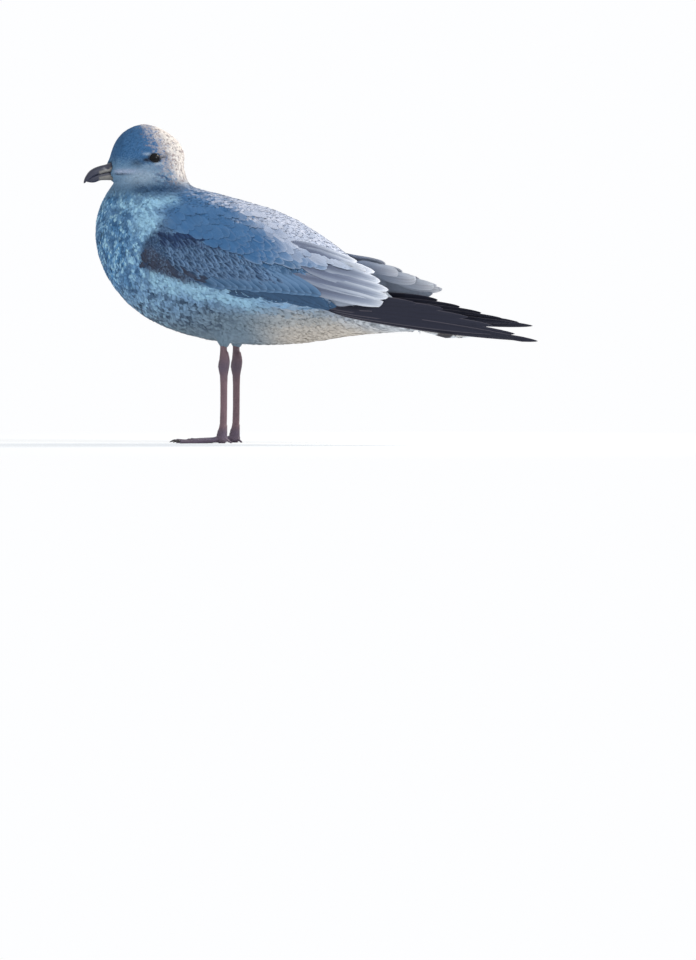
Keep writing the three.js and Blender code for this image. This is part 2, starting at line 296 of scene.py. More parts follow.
def makeWorld():
    # Soft light from all round, and a pale backdrop wherever the world itself is seen.
    world = bpy.data.worlds.new("studio")
    bpy.context.scene.world = world
    world.use_nodes = True
    tree = world.node_tree
    tree.nodes.clear()
    rays = addNode(tree, "LightPath")
    seen = doMath(tree, "MAXIMUM", rays["Is Camera Ray"], rays["Is Glossy Ray"])
    seen = doMath(tree, "MAXIMUM", seen, rays["Is Transmission Ray"])
    soft = addNode(tree, "Background", {"Color": studio["ambientColour"], "Strength": studio["ambient"]})[0]
    shown = addNode(tree, "Background", {"Color": studio["backdrop"], "Strength": 1.0})[0]
    mixed = addNode(tree, "MixShader", {0: seen, 1: soft, 2: shown})[0]
    addNode(tree, "OutputWorld", {"Surface": mixed})


def makeFloor():
    # A pale floor that keeps its shadow near the bird and melts into the backdrop further out.
    deselect()
    bpy.ops.mesh.primitive_plane_add(size=studio["floorSize"], location=(0, 0, 0))
    floor = bpy.context.object
    floor.name = "floor"
    material, tree = newMaterial("paleFloor")
    finishMaterial(material, studio["floorColour"], 0.9, extra={"Specular IOR Level": 0.1})
    far = addNode(tree, "VectorMath", {0: spotNode(tree)}, operation="LENGTH")["Value"]
    start, end = studio["floorFade"]
    fade = addNode(tree, "MapRange", {"Value": far, "From Min": start, "From Max": end,
                                      "To Min": studio["floorGlow"], "To Max": 1.0},
                   interpolation_type="SMOOTHSTEP")[0]
    share = times(tree, fade, addNode(tree, "LightPath")["Is Camera Ray"])
    plain = addNode(tree, "Emission", {"Color": studio["backdrop"]})[0]
    lit = tree.nodes["Principled BSDF"].outputs[0]
    mixed = addNode(tree, "MixShader", {0: share, 1: lit, 2: plain})[0]
    feed(tree, tree.nodes["Material Output"].inputs["Surface"], mixed)
    floor.data.materials.append(material)


bpy.context.scene.view_settings.view_transform = "Standard"
makeCamera()
makeWorld()
makeFloor()
for lightName, lightValues in studio["lights"].items():
    makeLight(lightName, *lightValues)
print("stage: studio")


# The skin: one smooth body under the feathers.
skin = {
    "voxel": 1.7,
    "swell": 0.25,
    "smoothing": (0.6, -0.61, 0.25),
    "rounds": 14,
    "thinShare": 0.3,
    "shankTop": 84,
    "thighTaper": 15,
    "thighPinch": 0.42,
    # feathering that runs forward along the bill: reach, height and width of each point
    "billPoints": ((3.6, 238.5, 2.6), (2.6, 247, 2.8)),
    # where the folded wing's flesh starts to shrink, where it ends, and how far it is drawn in
    "wingEnd": {"wing_left": (124, 152, 0.3), "wing_right": (162, 188, 0.2)},
    "wingPinch": 0.22,
    # the eyes' pits in the solids are filled from the inside
    "eyePlugs": (6.6, -5.6),
    "plugRadius": 14,
}
fleshNodes = ["head", "neck", "trunk", "wing_left", "wing_right", "thigh_left", "thigh_right"]
legAside = 20

# The head's own axis: forward along the bill, aside to the gull's left.
headTurn = math.radians(42)
skullPlace = np.array([-74.5, -8.0, 0.0])
headForward = np.array([-math.cos(headTurn), -math.sin(headTurn), 0.0])
headAside = np.array([math.sin(headTurn), -math.cos(headTurn), 0.0])
headUp = np.array([0.0, 0.0, 1.0])
headAxes = np.array([headForward, headAside, headUp])
eyeSpot = (2.0, 253.0)  # forward and height of the eye on the face


def fromHead(local):
    # Head millimetres, forward, aside, up, to table millimetres.
    return skullPlace + np.asarray(local, float) @ headAxes


def toHead(metres):
    return ((np.asarray(metres) - origin) / mm - skullPlace) @ headAxes.T


# How the coat lies: place, direction, depth of the coat, feather spacing.
# Head rows are on the head's axes, and both kinds repeat on the other side.
headLie = [
    [(31, 3, 250), (-1, 0.05, 0.35), 0.45, 1.0],
    [(31, 5, 236), (-1, 0.1, -0.3), 0.45, 1.0],
    [(27, 0, 269), (-1, 0, 0.75), 0.7, 1.15],
    [(24, 9, 262), (-1, 0.35, 0.35), 0.7, 1.15],
    [(3, 0, 284), (-1, 0, 0), 1.1, 1.45],
    [(12, 10, 279), (-1, 0.2, 0.1), 1.0, 1.4],
    [(-10, 12, 277), (-1, 0.1, -0.25), 1.2, 1.55],
    [(-24, 0, 273), (-0.85, 0, -0.6), 1.4, 1.7],
    [(-33, 0, 254), (-0.3, 0, -1), 1.8, 1.9],
    [(22, 12, 248), (-1, 0.25, 0.05), 0.7, 1.1],
    [(10, 19, 254), (-1, 0.15, 0.1), 0.6, 1.05],
    [(12, 18, 243), (-1, 0.2, -0.15), 0.9, 1.25],
    [(3, 20, 263), (-1, 0, 0.15), 0.7, 1.15],
    [(-6, 20, 252), (-1, -0.1, -0.2), 0.9, 1.3],
    [(0, 19, 240), (-1, 0, -0.35), 1.2, 1.5],
    [(-18, 18, 248), (-0.85, -0.2, -0.6), 1.4, 1.7],
    [(-26, 12, 240), (-0.5, -0.1, -0.95), 1.8, 1.9],
    [(30, 4, 233), (-1, 0.1, -0.3), 0.6, 1.2],
    [(18, 9, 229), (-1, 0.1, -0.3), 1.0, 1.5],
    [(4, 12, 226), (-0.9, 0.1, -0.6), 1.4, 1.7],
    [(-12, 15, 230), (-0.6, 0, -0.9), 1.6, 1.8],
]
bodyLie = [
    [(-118, 0, 213), (0.05, 0, -1), 2.4, 2.1],
    [(-123, 0, 190), (0.0, 0, -1), 3.0, 2.3],
    [(-121, 0, 168), (0.15, 0, -1), 3.2, 2.4],
    [(-108, 0, 140), (0.5, 0, -0.85), 3.4, 2.5],
    [(-85, 0, 116), (0.8, 0, -0.6), 3.4, 2.6],
    [(-54, 0, 100), (0.95, 0, -0.3), 3.4, 2.7],
    [(-18, 0, 91), (1, 0, -0.1), 3.2, 2.7],
    [(20, 0, 88), (1, 0, 0), 3.2, 2.8],
    [(70, 0, 88), (1, 0, 0.05), 3.0, 3.0],
    [(120, 0, 95), (1, 0, 0.1), 2.6, 3.4],
    [(166, 0, 99), (1, 0, 0.0), 1.6, 3.6],
    [(-98, 30, 214), (0.25, 0.05, -1), 2.2, 2.0],
    [(-76, 34, 226), (0.5, 0.1, -0.85), 2.2, 2.0],
    [(-50, 26, 238), (0.5, 0.15, -0.8), 2.2, 2.1],
    [(-106, 38, 184), (0.4, 0.1, -0.95), 2.8, 2.3],
    [(-80, 48, 196), (0.6, 0.1, -0.8), 2.6, 2.3],
    [(-82, 52, 160), (0.5, 0.0, -0.85), 3.0, 2.4],
    [(-60, 52, 136), (0.8, 0, -0.55), 3.2, 2.5],
    [(-20, 52, 114), (0.95, 0, -0.25), 3.2, 2.6],
    [(30, 46, 104), (1, 0, -0.05), 3.0, 2.8],
    [(80, 36, 104), (1, 0, 0.0), 2.8, 3.0],
    [(130, 26, 108), (1, -0.05, 0.0), 2.2, 3.4],
    [(-43, 0, 243), (0.35, 0, -0.95), 2.4, 2.1],
    [(-32, 0, 228), (0.8, 0, -0.6), 2.4, 2.4],
    [(0, 0, 219), (0.97, 0, -0.22), 2.2, 2.9],
    [(50, 0, 203), (0.95, 0, -0.33), 2.2, 3.2],
    [(100, 0, 174), (0.85, 0, -0.52), 2.0, 3.3],
    [(140, 0, 137), (0.85, 0, -0.5), 2.0, 3.4],
    [(166, 0, 115), (0.95, 0, -0.3), 1.8, 3.4],
    [(-46, 40, 212), (0.8, 0.05, -0.45), 2.2, 2.6],
    [(-10, 38, 208), (0.93, 0.05, -0.35), 2.2, 3.0],
    [(40, 36, 194), (0.93, 0.0, -0.36), 2.2, 3.3],
    [(90, 28, 166), (0.9, -0.05, -0.42), 1.8, 3.4],
    [(-68, 49, 172), (0.5, 0.3, -0.8), 1.4, 2.4],
    [(-56, 56, 160), (0.7, 0.1, -0.7), 1.4, 3.0],
    [(-40, 59, 182), (0.6, 0.1, -0.75), 1.6, 3.2],
    [(-10, 60, 172), (0.7, 0.05, -0.7), 1.6, 3.6],
    [(0, 60, 150), (0.85, 0.0, -0.45), 1.4, 4.0],
    [(50, 57, 150), (0.88, -0.05, -0.45), 1.6, 5.0],
    [(60, 50, 128), (0.93, -0.1, -0.25), 1.2, 5.0],
    [(100, 46, 136), (0.92, -0.15, -0.36), 1.2, 5.4],
    [(150, 28, 128), (0.95, -0.2, -0.25), 1.0, 5.4],
    [(0, 20, 97), (0.1, 0, -1), 1.8, 1.9],
    [(1, 20, 84), (0.05, 0, -1), 0.7, 1.4],
]


def mirrored(rows):
    # Each row of a table, and its mirror image where it lies off the middle.
    for spot, way, depth, spacing in rows:
        for side in ((1,) if spot[1] == 0 else (1, -1)):
            turn = np.array([1, side, 1])
            yield spot * turn, way * turn, depth, spacing


def lieTable():
    rows = [[*fromHead(spot), *(way @ headAxes), depth, spacing]
            for spot, way, depth, spacing in mirrored(headLie)]
    rows += [[*spot, *way, depth, spacing] for spot, way, depth, spacing in mirrored(bodyLie)]
    table = np.array(rows, float)
    table[:, 3:6] = unit(table[:, 3:6])
    return table


lie = lieTable()
liePlaces = place(lie[:, :3])
lieBatch = 4000
lieReach = 0.002  # metres; keeps the nearest row from taking over all at once


def lieAt(spots):
    # Direction, depth and spacing at each spot, blended from the nearest rows of the table.
    found = np.empty((len(spots), 5))
    for first in range(0, len(spots), lieBatch):
        part = spots[first:first + lieBatch]
        distance = np.linalg.norm(part[:, None, :] - liePlaces[None], axis=2)
        weight = 1 / (distance + lieReach) ** 4
        weight /= weight.sum(axis=1, keepdims=True)
        found[first:first + lieBatch] = weight @ lie[:, 3:8]
    return found[:, :3], found[:, 3] * mm, found[:, 4] * mm


def edgeArray(mesh):
    return readAll(mesh.edges, "vertices", 2, int)


def spread(values, edges, count, rounds, share=0.5):
    # Each vertex moves towards the mean of its neighbours.
    degree = np.bincount(edges.ravel(), minlength=count).astype(float)
    current = values.reshape(count, -1).astype(float)
    for _ in range(rounds):
        total = np.stack([
            np.bincount(edges[:, 0], current[edges[:, 1], axis], count)
            + np.bincount(edges[:, 1], current[edges[:, 0], axis], count)
            for axis in range(current.shape[1])
        ], axis=1)
        current = current + share * (total / degree[:, None] - current)
    return current.reshape(values.shape)


def pinchThigh(shape):
    # The feathered thigh narrows down to the bare shank.
    low = 1 - np.clip((shape[:, 2] / mm - skin["shankTop"]) / skin["thighTaper"], 0, 1)
    middle = np.array([originX, np.sign(shape[0, 1]) * legAside * mm])
    shape[:, :2] = middle + (shape[:, :2] - middle) * (1 - skin["thighPinch"] * low[:, None])
    shape[:, 2] = np.maximum(shape[:, 2], skin["shankTop"] * mm)


def featherBillBase(shape):
    forward, _, height = toHead(shape).T
    front = np.clip((forward - 24) / 6, 0, 1)
    reach = sum(far * np.exp(-((height - level) / wide) ** 2) for far, level, wide in skin["billPoints"])
    shape += headForward * (front * reach * mm)[:, None]


def endWing(shape, first, last, pulled):
    # The folded wing's end is all feather, so the flesh stops short of it.
    over = np.maximum(shape[:, 0] - place([first, 0, 0])[0], 0)
    end = np.clip(over / ((last - first) * mm), 0, 1)[:, None]
    near = over > 0
    middle = shape[near, 1:].mean(axis=0)
    shape[:, 0] -= pulled * over
    drawn = middle + (shape[:, 1:] - middle) * (1 - skin["wingPinch"] * end)
    shape[:, 1:] = np.where(near[:, None], drawn, shape[:, 1:])


def makeEnvelope():
    pieces = []
    for name in fleshNodes:
        piece = nodeCopy(name, "flesh_" + name)
        shape = points(piece.data) + normals(piece.data) * skin["swell"] * mm
        if name.startswith("thigh"):
            pinchThigh(shape)
        if name == "head":
            featherBillBase(shape)
        if name.startswith("wing"):
            endWing(shape, *skin["wingEnd"][name])
        setPoints(piece.data, shape)
        pieces.append(piece)
    for aside in skin["eyePlugs"]:
        deselect()
        middle = place(fromHead([3, aside, eyeSpot[1]]))
        bpy.ops.mesh.primitive_uv_sphere_add(radius=skin["plugRadius"] * mm, location=middle)
        bpy.ops.object.transform_apply(location=True, rotation=False, scale=False)
        pieces.append(bpy.context.object)
    body = joinPieces(pieces, "skin_body")
    body.data.remesh_voxel_size = skin["voxel"] * mm
    activate(body)
    bpy.ops.object.voxel_remesh()
    edges = edgeArray(body.data)
    shape = points(body.data)
    for _ in range(skin["rounds"]):
        # out and then back in, so that thin edges keep their size
        for share in skin["smoothing"]:
            shape = spread(shape, edges, len(shape), 1, share)
    setPoints(body.data, shape)
    print("stage: envelope", len(shape), "vertices")
    return body


def treeFrom(spots, faces):
    return BVHTree.FromPolygons([tuple(spot) for spot in spots], [tuple(face) for face in faces])


skinPiece = makeEnvelope()
envelope = points(skinPiece.data)
envelopeNormals = normals(skinPiece.data)
envelopeTree = treeFrom(envelope, [tuple(face.vertices) for face in skinPiece.data.polygons])


def skinDepth():
    # The coat's depth at each vertex, less where the body is too thin for it.
    _, depth, _ = lieAt(envelope)
    inset, thickest = 0.0003, 0.03
    thin = np.empty(len(envelope))
    for index, (spot, way) in enumerate(zip(envelope, envelopeNormals)):
        hit = envelopeTree.ray_cast(Vector(spot - way * inset), Vector(-way), thickest)
        thin[index] = hit[3] if hit[3] is not None else thickest
    depth = np.minimum(depth, thin * skin["thinShare"])
    return spread(depth, edgeArray(skinPiece.data), len(envelope), 4)


depthAtVertex = skinDepth()
setPoints(skinPiece.data, envelope - envelopeNormals * depthAtVertex[:, None])
print("stage: skin depth", round(depthAtVertex.min() / mm, 2), round(depthAtVertex.max() / mm, 2))


# The skin is unwrapped, and every feather's own patch is laid on that map.
def unwrapSkin():
    editAll(skinPiece, bpy.ops.uv.smart_project, angle_limit=math.radians(66), island_margin=0.004)
    layer = skinPiece.data.uv_layers.active
    layer.name = "OFBake"
    return readAll(layer.data, "uv", 2)


skinUv = unwrapSkin()
skinPiece.data.calc_loop_triangles()
triangles = readAll(skinPiece.data.loop_triangles, "vertices", 3, int)
triangleLoops = readAll(skinPiece.data.loop_triangles, "loops", 3, int)
envelopeTree = treeFrom(envelope, triangles)
print("stage: unwrap", len(triangles), "triangles")


def shares(spots, found):
    # How much each corner of the found triangle counts at each spot.
    a, b, c = (envelope[triangles[found, corner]] for corner in range(3))
    sides = b - a, c - a, spots - a
    bb, bc, bp, cc, cp = ((sides[left] * sides[right]).sum(axis=1)
                          for left, right in ((0, 0), (0, 1), (0, 2), (1, 1), (1, 2)))
    under = np.maximum(bb * cc - bc * bc, 1e-18)
    second = (cc * bp - bc * cp) / under
    third = (bb * cp - bc * bp) / under
    mixed = np.clip(np.stack([1 - second - third, second, third], axis=1), 0, 1)
    return mixed / mixed.sum(axis=1, keepdims=True)


def onEnvelope(spots):
    # Nearest place on the envelope, its normal, the coat's depth and the skin's unwrap there.
    hits = [envelopeTree.find_nearest(Vector(spot)) for spot in spots]
    near = np.array([hit[0][:] for hit in hits])
    found = np.array([hit[2] for hit in hits])
    mixed = shares(near, found)
    corners = triangles[found]
    way = unit((envelopeNormals[corners] * mixed[:, :, None]).sum(axis=1))
    depth = (depthAtVertex[corners] * mixed).sum(axis=1)
    flat = (skinUv[triangleLoops[found]] * mixed[:, :, None]).sum(axis=1)
    return near, way, depth, flat


def smallVane():
    # Along, across and lift of a small feather's points; the lifted ones are its two faces.
    rim = [(0, 0, 0), (0.3, -0.75, 0), (0.60, -1, 0), (0.86, -0.80, 0), (0.80, -0.56, 0),
           (0.97, -0.38, 0), (0.87, -0.16, 0), (1, 0.03, 0), (0.86, 0.22, 0), (0.95, 0.44, 0),
           (0.79, 0.60, 0), (0.85, 0.84, 0), (0.60, 1, 0), (0.3, 0.75, 0)]
    middle = [(0.3, 0, 1), (0.66, 0, 1)]
    top = [(0, 1, 14), (1, 2, 15, 14), (2, 3, 4, 15), (4, 5, 6, 15), (6, 7, 8, 15), (8, 9, 10, 15),
           (10, 11, 12, 15), (12, 13, 14, 15), (13, 0, 14)]
    count = len(rim)
    template = rim + middle + [(along, across, -lift) for along, across, lift in middle]
    under = [tuple(index + 2 if index >= count else index for index in reversed(face)) for face in top]
    faces = top + under
    return np.array(template, float), faces, [(i, (i + 1) % count) for i in range(count)]


def longVane(rows, columns=4):
    # A large feather: a grid of rows and columns, closed at both ends.
    template, index = [], {}
    across = np.linspace(-1, 1, columns + 1)
    for layer in (1, -1):
        for row in range(1, rows):
            for column in range(columns + 1):
                edge = column in (0, columns)
                if edge and layer < 0:
                    index[layer, row, column] = index[1, row, column]
                    continue
                index[layer, row, column] = len(template)
                template.append((row / rows, across[column], 0 if edge else layer))
    start = len(template)
    template += [(0, 0, 0), (1, 0, 0)]
    faces = []
    for layer in (1, -1):
        strip = []
        for column in range(columns):
            near = [index[layer, row, column] for row in range(1, rows)]
            far = [index[layer, row, column + 1] for row in range(1, rows)]
            strip.append((start, near[0], far[0]))
            strip += zip(near, near[1:], far[1:], far)
            strip.append((near[-1], start + 1, far[-1]))
        faces += strip if layer > 0 else [tuple(reversed(face)) for face in strip]
    left = [start] + [index[1, row, 0] for row in range(1, rows)] + [start + 1]
    right = [start + 1] + [index[1, row, columns] for row in range(rows - 1, 0, -1)] + [start]
    return np.array(template, float), faces, list(zip(left, left[1:])) + list(zip(right, right[1:]))


def vaneMesh(name, vane, spine, side, up, half, dress, thickness, camber, patchSize=0.003, soft=0.0,
             ragged=0.0):
    # One mesh of many feathers. spine, side and up: feathers x rows x 3; half: feathers x rows.
    # dress: colour at foot and tip, the same for the edge, and place on the unwrap.
    # soft turns the shading towards the body's own, so that neighbours melt together;
    # ragged frays the tips.
    template, faces, rim = vane
    tint, fringe, patch = dress
    count, rows, _ = spine.shape
    size = len(template)
    along, across, lift = template.T
    at = along * (rows - 1)
    low = np.minimum(at.astype(int), rows - 2)
    share = (at - low)[None, :, None]

    def blend(values):
        return values[:, low] * (1 - share) + values[:, low + 1] * share

    halfAt = blend(half[:, :, None])[:, :, 0]
    body = np.sin(np.pi * np.clip(along * 0.92 + 0.04, 0, 1)) ** 0.5
    rise = thickness * lift * body * (1 - 0.55 * across ** 2) / 2 - camber * halfAt * across ** 2
    spots = blend(spine) + blend(side) * (halfAt * across)[:, :, None] + blend(up) * rise[:, :, None]
    if ragged:
        fray = chance.normal(0, ragged, (count, size)) * np.clip(along * 4 - 2.6, 0, 1)
        spots += (spine[:, -1] - spine[:, -2])[:, None] * np.clip(fray, -0.9, 0.6)[:, :, None]
    mesh = bpy.data.meshes.new(name)
    corners = np.concatenate([np.array(face) for face in faces])
    lengths = np.array([len(face) for face in faces])
    allCorners = (corners[None] + (np.arange(count) * size)[:, None]).ravel()
    mesh.vertices.add(count * size)
    mesh.vertices.foreach_set("co", spots.ravel())
    mesh.loops.add(len(allCorners))
    mesh.loops.foreach_set("vertex_index", allCorners)
    mesh.polygons.add(count * len(faces))
    mesh.polygons.foreach_set("loop_start", np.concatenate([[0], np.cumsum(np.tile(lengths, count))[:-1]]))
    mesh.polygons.foreach_set("use_smooth", np.ones(count * len(faces), bool))
    mesh.update(calc_edges=True)
    mesh.validate()
    flat = np.stack([0.5 + across / 2, along], axis=1)[corners]
    mesh.uv_layers.new(name="vane").data.foreach_set("uv", np.tile(flat, (count, 1)).ravel())
    local = (flat - np.array([0.5, 0.0])) * np.array(patchSize)
    bake = np.clip(patch[:, None, :] + local[None], 0.001, 0.999)
    mesh.uv_layers.new(name="OFBake").data.foreach_set("uv", bake.ravel())
    far = ease(along, 0.15, 0.95)[None, :, None]
    for title, colours in (("tint", tint), ("fringe", fringe)):
        if colours.ndim == 2:
            colours = np.stack([colours, colours], axis=1)
        store(mesh, title, colours[:, :1] * (1 - far) + colours[:, 1:] * far, "FLOAT_COLOR", "color")
    pairs = edgeArray(mesh) % size
    table = np.zeros((size, size), bool)
    for first, second in rim:
        table[first, second] = table[second, first] = True
    store(mesh, "sharp_edge", table[pairs[:, 0], pairs[:, 1]], "BOOLEAN", domain="EDGE")
    if soft:
        own = readAll(mesh.corner_normals, "vector", 3, np.float32)
        under = np.repeat(np.arange(len(faces)) >= len(faces) // 2, lengths)
        wanted = blend(up)[:, corners] * (1 - 2 * under)[:, None]
        mesh.normals_split_custom_set(unit(own * (1 - soft) + wanted.reshape(-1, 3) * soft))
    print("stage:", name, count, "feathers", len(mesh.polygons), "faces")
    return newObject(name, mesh)


# Markings, painted light and shade among them, the same on skin and coat.

# Many greys and whites lean to blue: part of that blue is painted shade, the cool colour of a side in open
# shade, mixed into the bird's own colours.
palette = {
    "back": linear(58, 103, 148),
    "backPale": linear(96, 132, 170),
    # painted sunlight along the top of the back
    "backSunPaint": linear(204, 206, 218),
    "breast": linear(132, 168, 202),
    "breastShadeBlue": linear(86, 146, 196),
    "breastMark": linear(42, 82, 126),
    "bright": linear(174, 218, 238),
    "belly": linear(122, 142, 158),
    "bellyRear": linear(160, 168, 174),
    # painted warm bounce light under the rear of the belly
    "bellyBounceLight": linear(206, 194, 180),
    "flankMark": linear(58, 76, 98),
    "crown": linear(56, 102, 148),
    "crownMark": linear(42, 74, 104),
    # pale hindneck, made lighter and warmer with painted sunlight
    "napePaleAndPaintedSun": linear(238, 228, 218),
    "napeMark": linear(116, 96, 100),
    "mauve": linear(142, 142, 166),
    "cheek": linear(104, 138, 168),
    "cheekMark": linear(52, 84, 122),
    "cheekPale": linear(162, 182, 200),
    "gape": linear(176, 182, 204),
    "lore": linear(24, 29, 44),
    # painted shadow under the cheek's overhang
    "cheekShadow": linear(34, 66, 100),
    "lidPale": linear(186, 200, 214),
    "covert": linear(56, 82, 114),
    "covertFringe": linear(132, 164, 200),
    "carpal": linear(62, 68, 86),
    "marginal": linear(34, 56, 92),
    "panel": linear(64, 98, 132),
    "tertial": linear(164, 172, 188),
    # painted sunlight on the far wing's tertials and on the faces turned to the back
    "tertialPaintedSun": linear(240, 240, 246),
    "tertialFoot": linear(104, 112, 134),
    "tertialEdge": linear(238, 239, 244),
    "rump": linear(200, 204, 210),
    "scapularTip": linear(182, 194, 214),
    "secondary": linear(56, 82, 112),
    "primary": linear(37, 38, 52),
    "primaryEdge": linear(100, 94, 102),
    "tailWhite": linear(222, 226, 230),
    "tailBand": linear(56, 50, 56),
}
# Edges of the colour fields, from the side: x and z of the mantle's edge over the wing, of the
# painted sunlight on the back, and of the folded wing's foot; z and x of its front.
mantleEdge = ([-66, -45, -14, 3, 32, 77, 100, 150, 190], [197, 189, 182, 170, 160, 156, 150, 128, 110])
sunPaintEdge = ([-40, -21, 8, 46, 60, 88, 130], [226, 221, 208, 185, 168, 157, 140])
wingFoot = ([-66, -21, 38, 110, 160], [154, 141, 131, 118, 108])
wingFront = ([150, 165, 178, 190, 200], [-65, -66, -62, -50, -44])
noiseSeeds = chance.uniform(-40, 40, (64, 3))
noiseWays = unit(chance.normal(size=(64, 3)))
waves = 9


def mottle(spots, size, first=0, stretch=1.0):
    # Smooth blotches of about the given size in millimetres, from -1 to 1, drawn out in height.
    total = np.zeros(len(spots))
    scaled = spots / (size * mm) * np.array([1, 1, 1 / stretch])
    for index in range(first, first + waves):
        way = noiseWays[index] * (1.6 + 0.22 * (index - first))
        total += np.sin(scaled @ way * 2 + noiseSeeds[index, 0])
    return np.clip(total / 4.2, -1, 1)


def ease(value, low, high):
    share = np.clip((value - low) / (high - low), 0, 1)
    return share * share * (3 - 2 * share)


def band(value, low, high, soft):
    return ease(value, low - soft, low + soft) * (1 - ease(value, high - soft, high + soft))


def blob(first, second, wide, high):
    return np.exp(-(first / wide) ** 2 - (second / high) ** 2)


def mixColour(left, right, share):
    return left * (1 - share[:, None]) + right * share[:, None]


def paint(colour, name, share):
    return mixColour(colour, palette[name], np.clip(share, 0, 1))


def filled(name, count):
    return np.tile(palette[name], (count, 1))


def bodyMarks(spots, ways, fleck, wobble):
    # Trunk: plain belly, darker with painted shade at the front and with painted warm bounce light under
    # the rear, mottled breast and flank, pale rump.
    x, _, z = ((spots - origin) / mm).T
    count = len(spots)
    patches = mottle(spots, 15, 22)
    colour = filled("belly", count)
    # paler towards the rear; the darker grey of the front belly is painted shade
    colour = paint(colour, "bellyRear", ease(x, 10, 80))
    # painted warm bounce light on the rear belly's downward-facing surfaces
    colour = paint(colour, "bellyBounceLight", ease(x, 20, 70) * ease(-ways[:, 2], 0.35, 0.9) * 0.8)
    colour = paint(colour, "breast", np.maximum(1 - ease(x, -40, 10), ease(z, 108, 126)) * ease(z, 96, 124))
    # bluer towards the front of the breast: painted shade
    blue = (1 - ease(x, -96, -44)) * (0.7 + 0.3 * patches) * ease(z, 112, 150)
    colour = paint(colour, "breastShadeBlue", blue)
    flank = band(z - np.interp(x, *wingFoot) + 3 * wobble, -13, -1, 4) * ease(x, -70, -52)
    flank *= 1 - ease(x, 20, 60)
    bend = blob(x + 62, z - 196 + 4 * wobble, 11, 13)
    fine = mottle(spots, 2.5, 12, 1.7)
    broad = mottle(spots, 5.2, 51, 1.4)
    grain = 0.5 * fine + 0.4 * broad + 0.9 * fleck
    chest = (1 - ease(x, -72, -38)) * ease(z, 130, 160)
    colour = paint(colour, "bright", ease(grain, 0.05, 0.6) * (1 - ease(x, -60, -20)) * (0.4 + 0.6 * chest))
    colour = paint(colour, "bright", np.maximum(flank * (0.55 + 0.4 * grain), bend * (0.85 + 0.3 * grain)))
    low = band(z, 98, 132, 9) * (1 - ease(x, -6, 34))
    strength = np.maximum((1 - ease(x, -46, -6)) * (0.70 + 0.25 * patches), low)
    strength *= (1 - 0.8 * flank) * (1 - 0.85 * bend) * (1 - 0.7 * ease(98 - z, 0, 10))
    mark = ease(-(0.35 * fine + 0.75 * broad + 0.45 * fleck), -0.02, 0.50) * strength
    markColour = mixColour(filled("breastMark", count), palette["flankMark"], 1 - ease(z, 118, 150))
    rump = ease(x, 96, 120) * ease(z - (118 - 0.30 * (x - 80)), -10, 6)
    colour = paint(colour, "rump", rump)
    mark = np.maximum(mark, rump * ease(mottle(spots, 7, 31) + fleck, 0.15, 0.5) * 0.4)
    return colour, mark, markColour


def backMarks(spots, fleck, wobble):
    # The grey mantle, paler along its top with painted sunlight, and how much of it shows.
    x, _, z = ((spots - origin) / mm).T
    edgeHere = np.interp(x, *mantleEdge) + 2.5 * wobble
    onBack = ease(z - edgeHere, -3, 3) * ease(x + 0.12 * (z - 187) + 4 * wobble + 6 * fleck, -54, -36)
    onBack *= 1 - ease(x, 112, 140)
    paler = np.clip(0.2 + 0.25 * wobble + fleck * 0.4 + 0.45 * ease(x, 40, 110), 0, 1)
    back = mixColour(filled("back", len(spots)), palette["backPale"], paler)
    # painted sunlight: a pale band along the top of the back, where the sun strikes it from behind
    lit = z - np.interp(x, *sunPaintEdge) + 7 * fleck + 3 * wobble + 4 * mottle(spots, 6, 19)
    return paint(back, "backSunPaint", ease(lit, -5, 11) * ease(x, -48, -20) * (0.78 + 0.3 * fleck)), onBack


def headMarks(spots, fleck):
    # Blue crown, pale puffed cheek and pale nape, partly painted sunlight, with a painted shadow and the
    # collar under the cheek.
    local = toHead(spots)
    forward, aside, height = local[:, 0], np.abs(local[:, 1]), local[:, 2]
    count = len(spots)
    hindEdge = 9 - 0.32 * (height - 254)
    streaks = mottle(spots, 3.2, 48, 0.8)
    hind = ease(-forward - hindEdge + 4 * mottle(spots, 7, 40) + 5 * streaks + 12 * fleck, -12, 11)
    face = ease(height - 0.12 * forward + 4 * fleck, 241, 253)
    colour = filled("cheek", count)
    puff = blob(forward - 12 + 0.4 * (height - 236), height - 236, 15, 7.5)
    colour = paint(colour, "cheekPale", puff * (1.0 + 0.5 * fleck) * (1 - 0.8 * hind))
    swirl = ease(mottle(spots, 3.4, 30, 0.9) + 0.6 * fleck, -0.1, 0.45)
    swirl *= blob(forward + 5, height - 235, 10, 11)
    colour = paint(colour, "cheekMark", swirl * 0.95)
    colour = paint(colour, "crown", face * (0.9 + 0.2 * fleck))
    colour = paint(colour, "mauve", hind * (1 - hind) * 2.6 * ease(height, 226, 244))
    # pale nape, partly its own colour and partly painted sunlight
    colour = paint(colour, "napePaleAndPaintedSun", hind * (0.25 + 0.75 * ease(height, 222, 240)))
    mark = ease(streaks * 0.5 + fleck * 1.3, 0.05, 0.7) * (0.15 + 0.35 * face)
    mark = np.maximum(mark, ease(streaks * 0.7 + fleck * 1.3, 0.0, 0.7) * hind * 0.8)
    mark *= 1 - 0.6 * band(height, 226, 243, 5) * ease(forward, -6, 4)
    markColour = mixColour(filled("crownMark", count), palette["napeMark"], hind)
    # painted shadow: the cheek's lower edge overhangs the neck, and the shade under it is painted in
    cheekShadow = blob(height - 224.5 + 0.10 * forward, np.minimum(aside - 6, 0), 5.4, 6) * ease(forward, -30, -16)
    cheekShadow *= 1 - ease(forward, 16, 26)
    collar = blob(height - 214 + 0.15 * forward, 0, 4.0, 1) * ease(forward, -16, -4) * ease(aside, 6, 14)
    colour = paint(colour, "cheekShadow", cheekShadow * (0.95 + 0.5 * fleck))
    return colour, mark, markColour, cheekShadow, collar


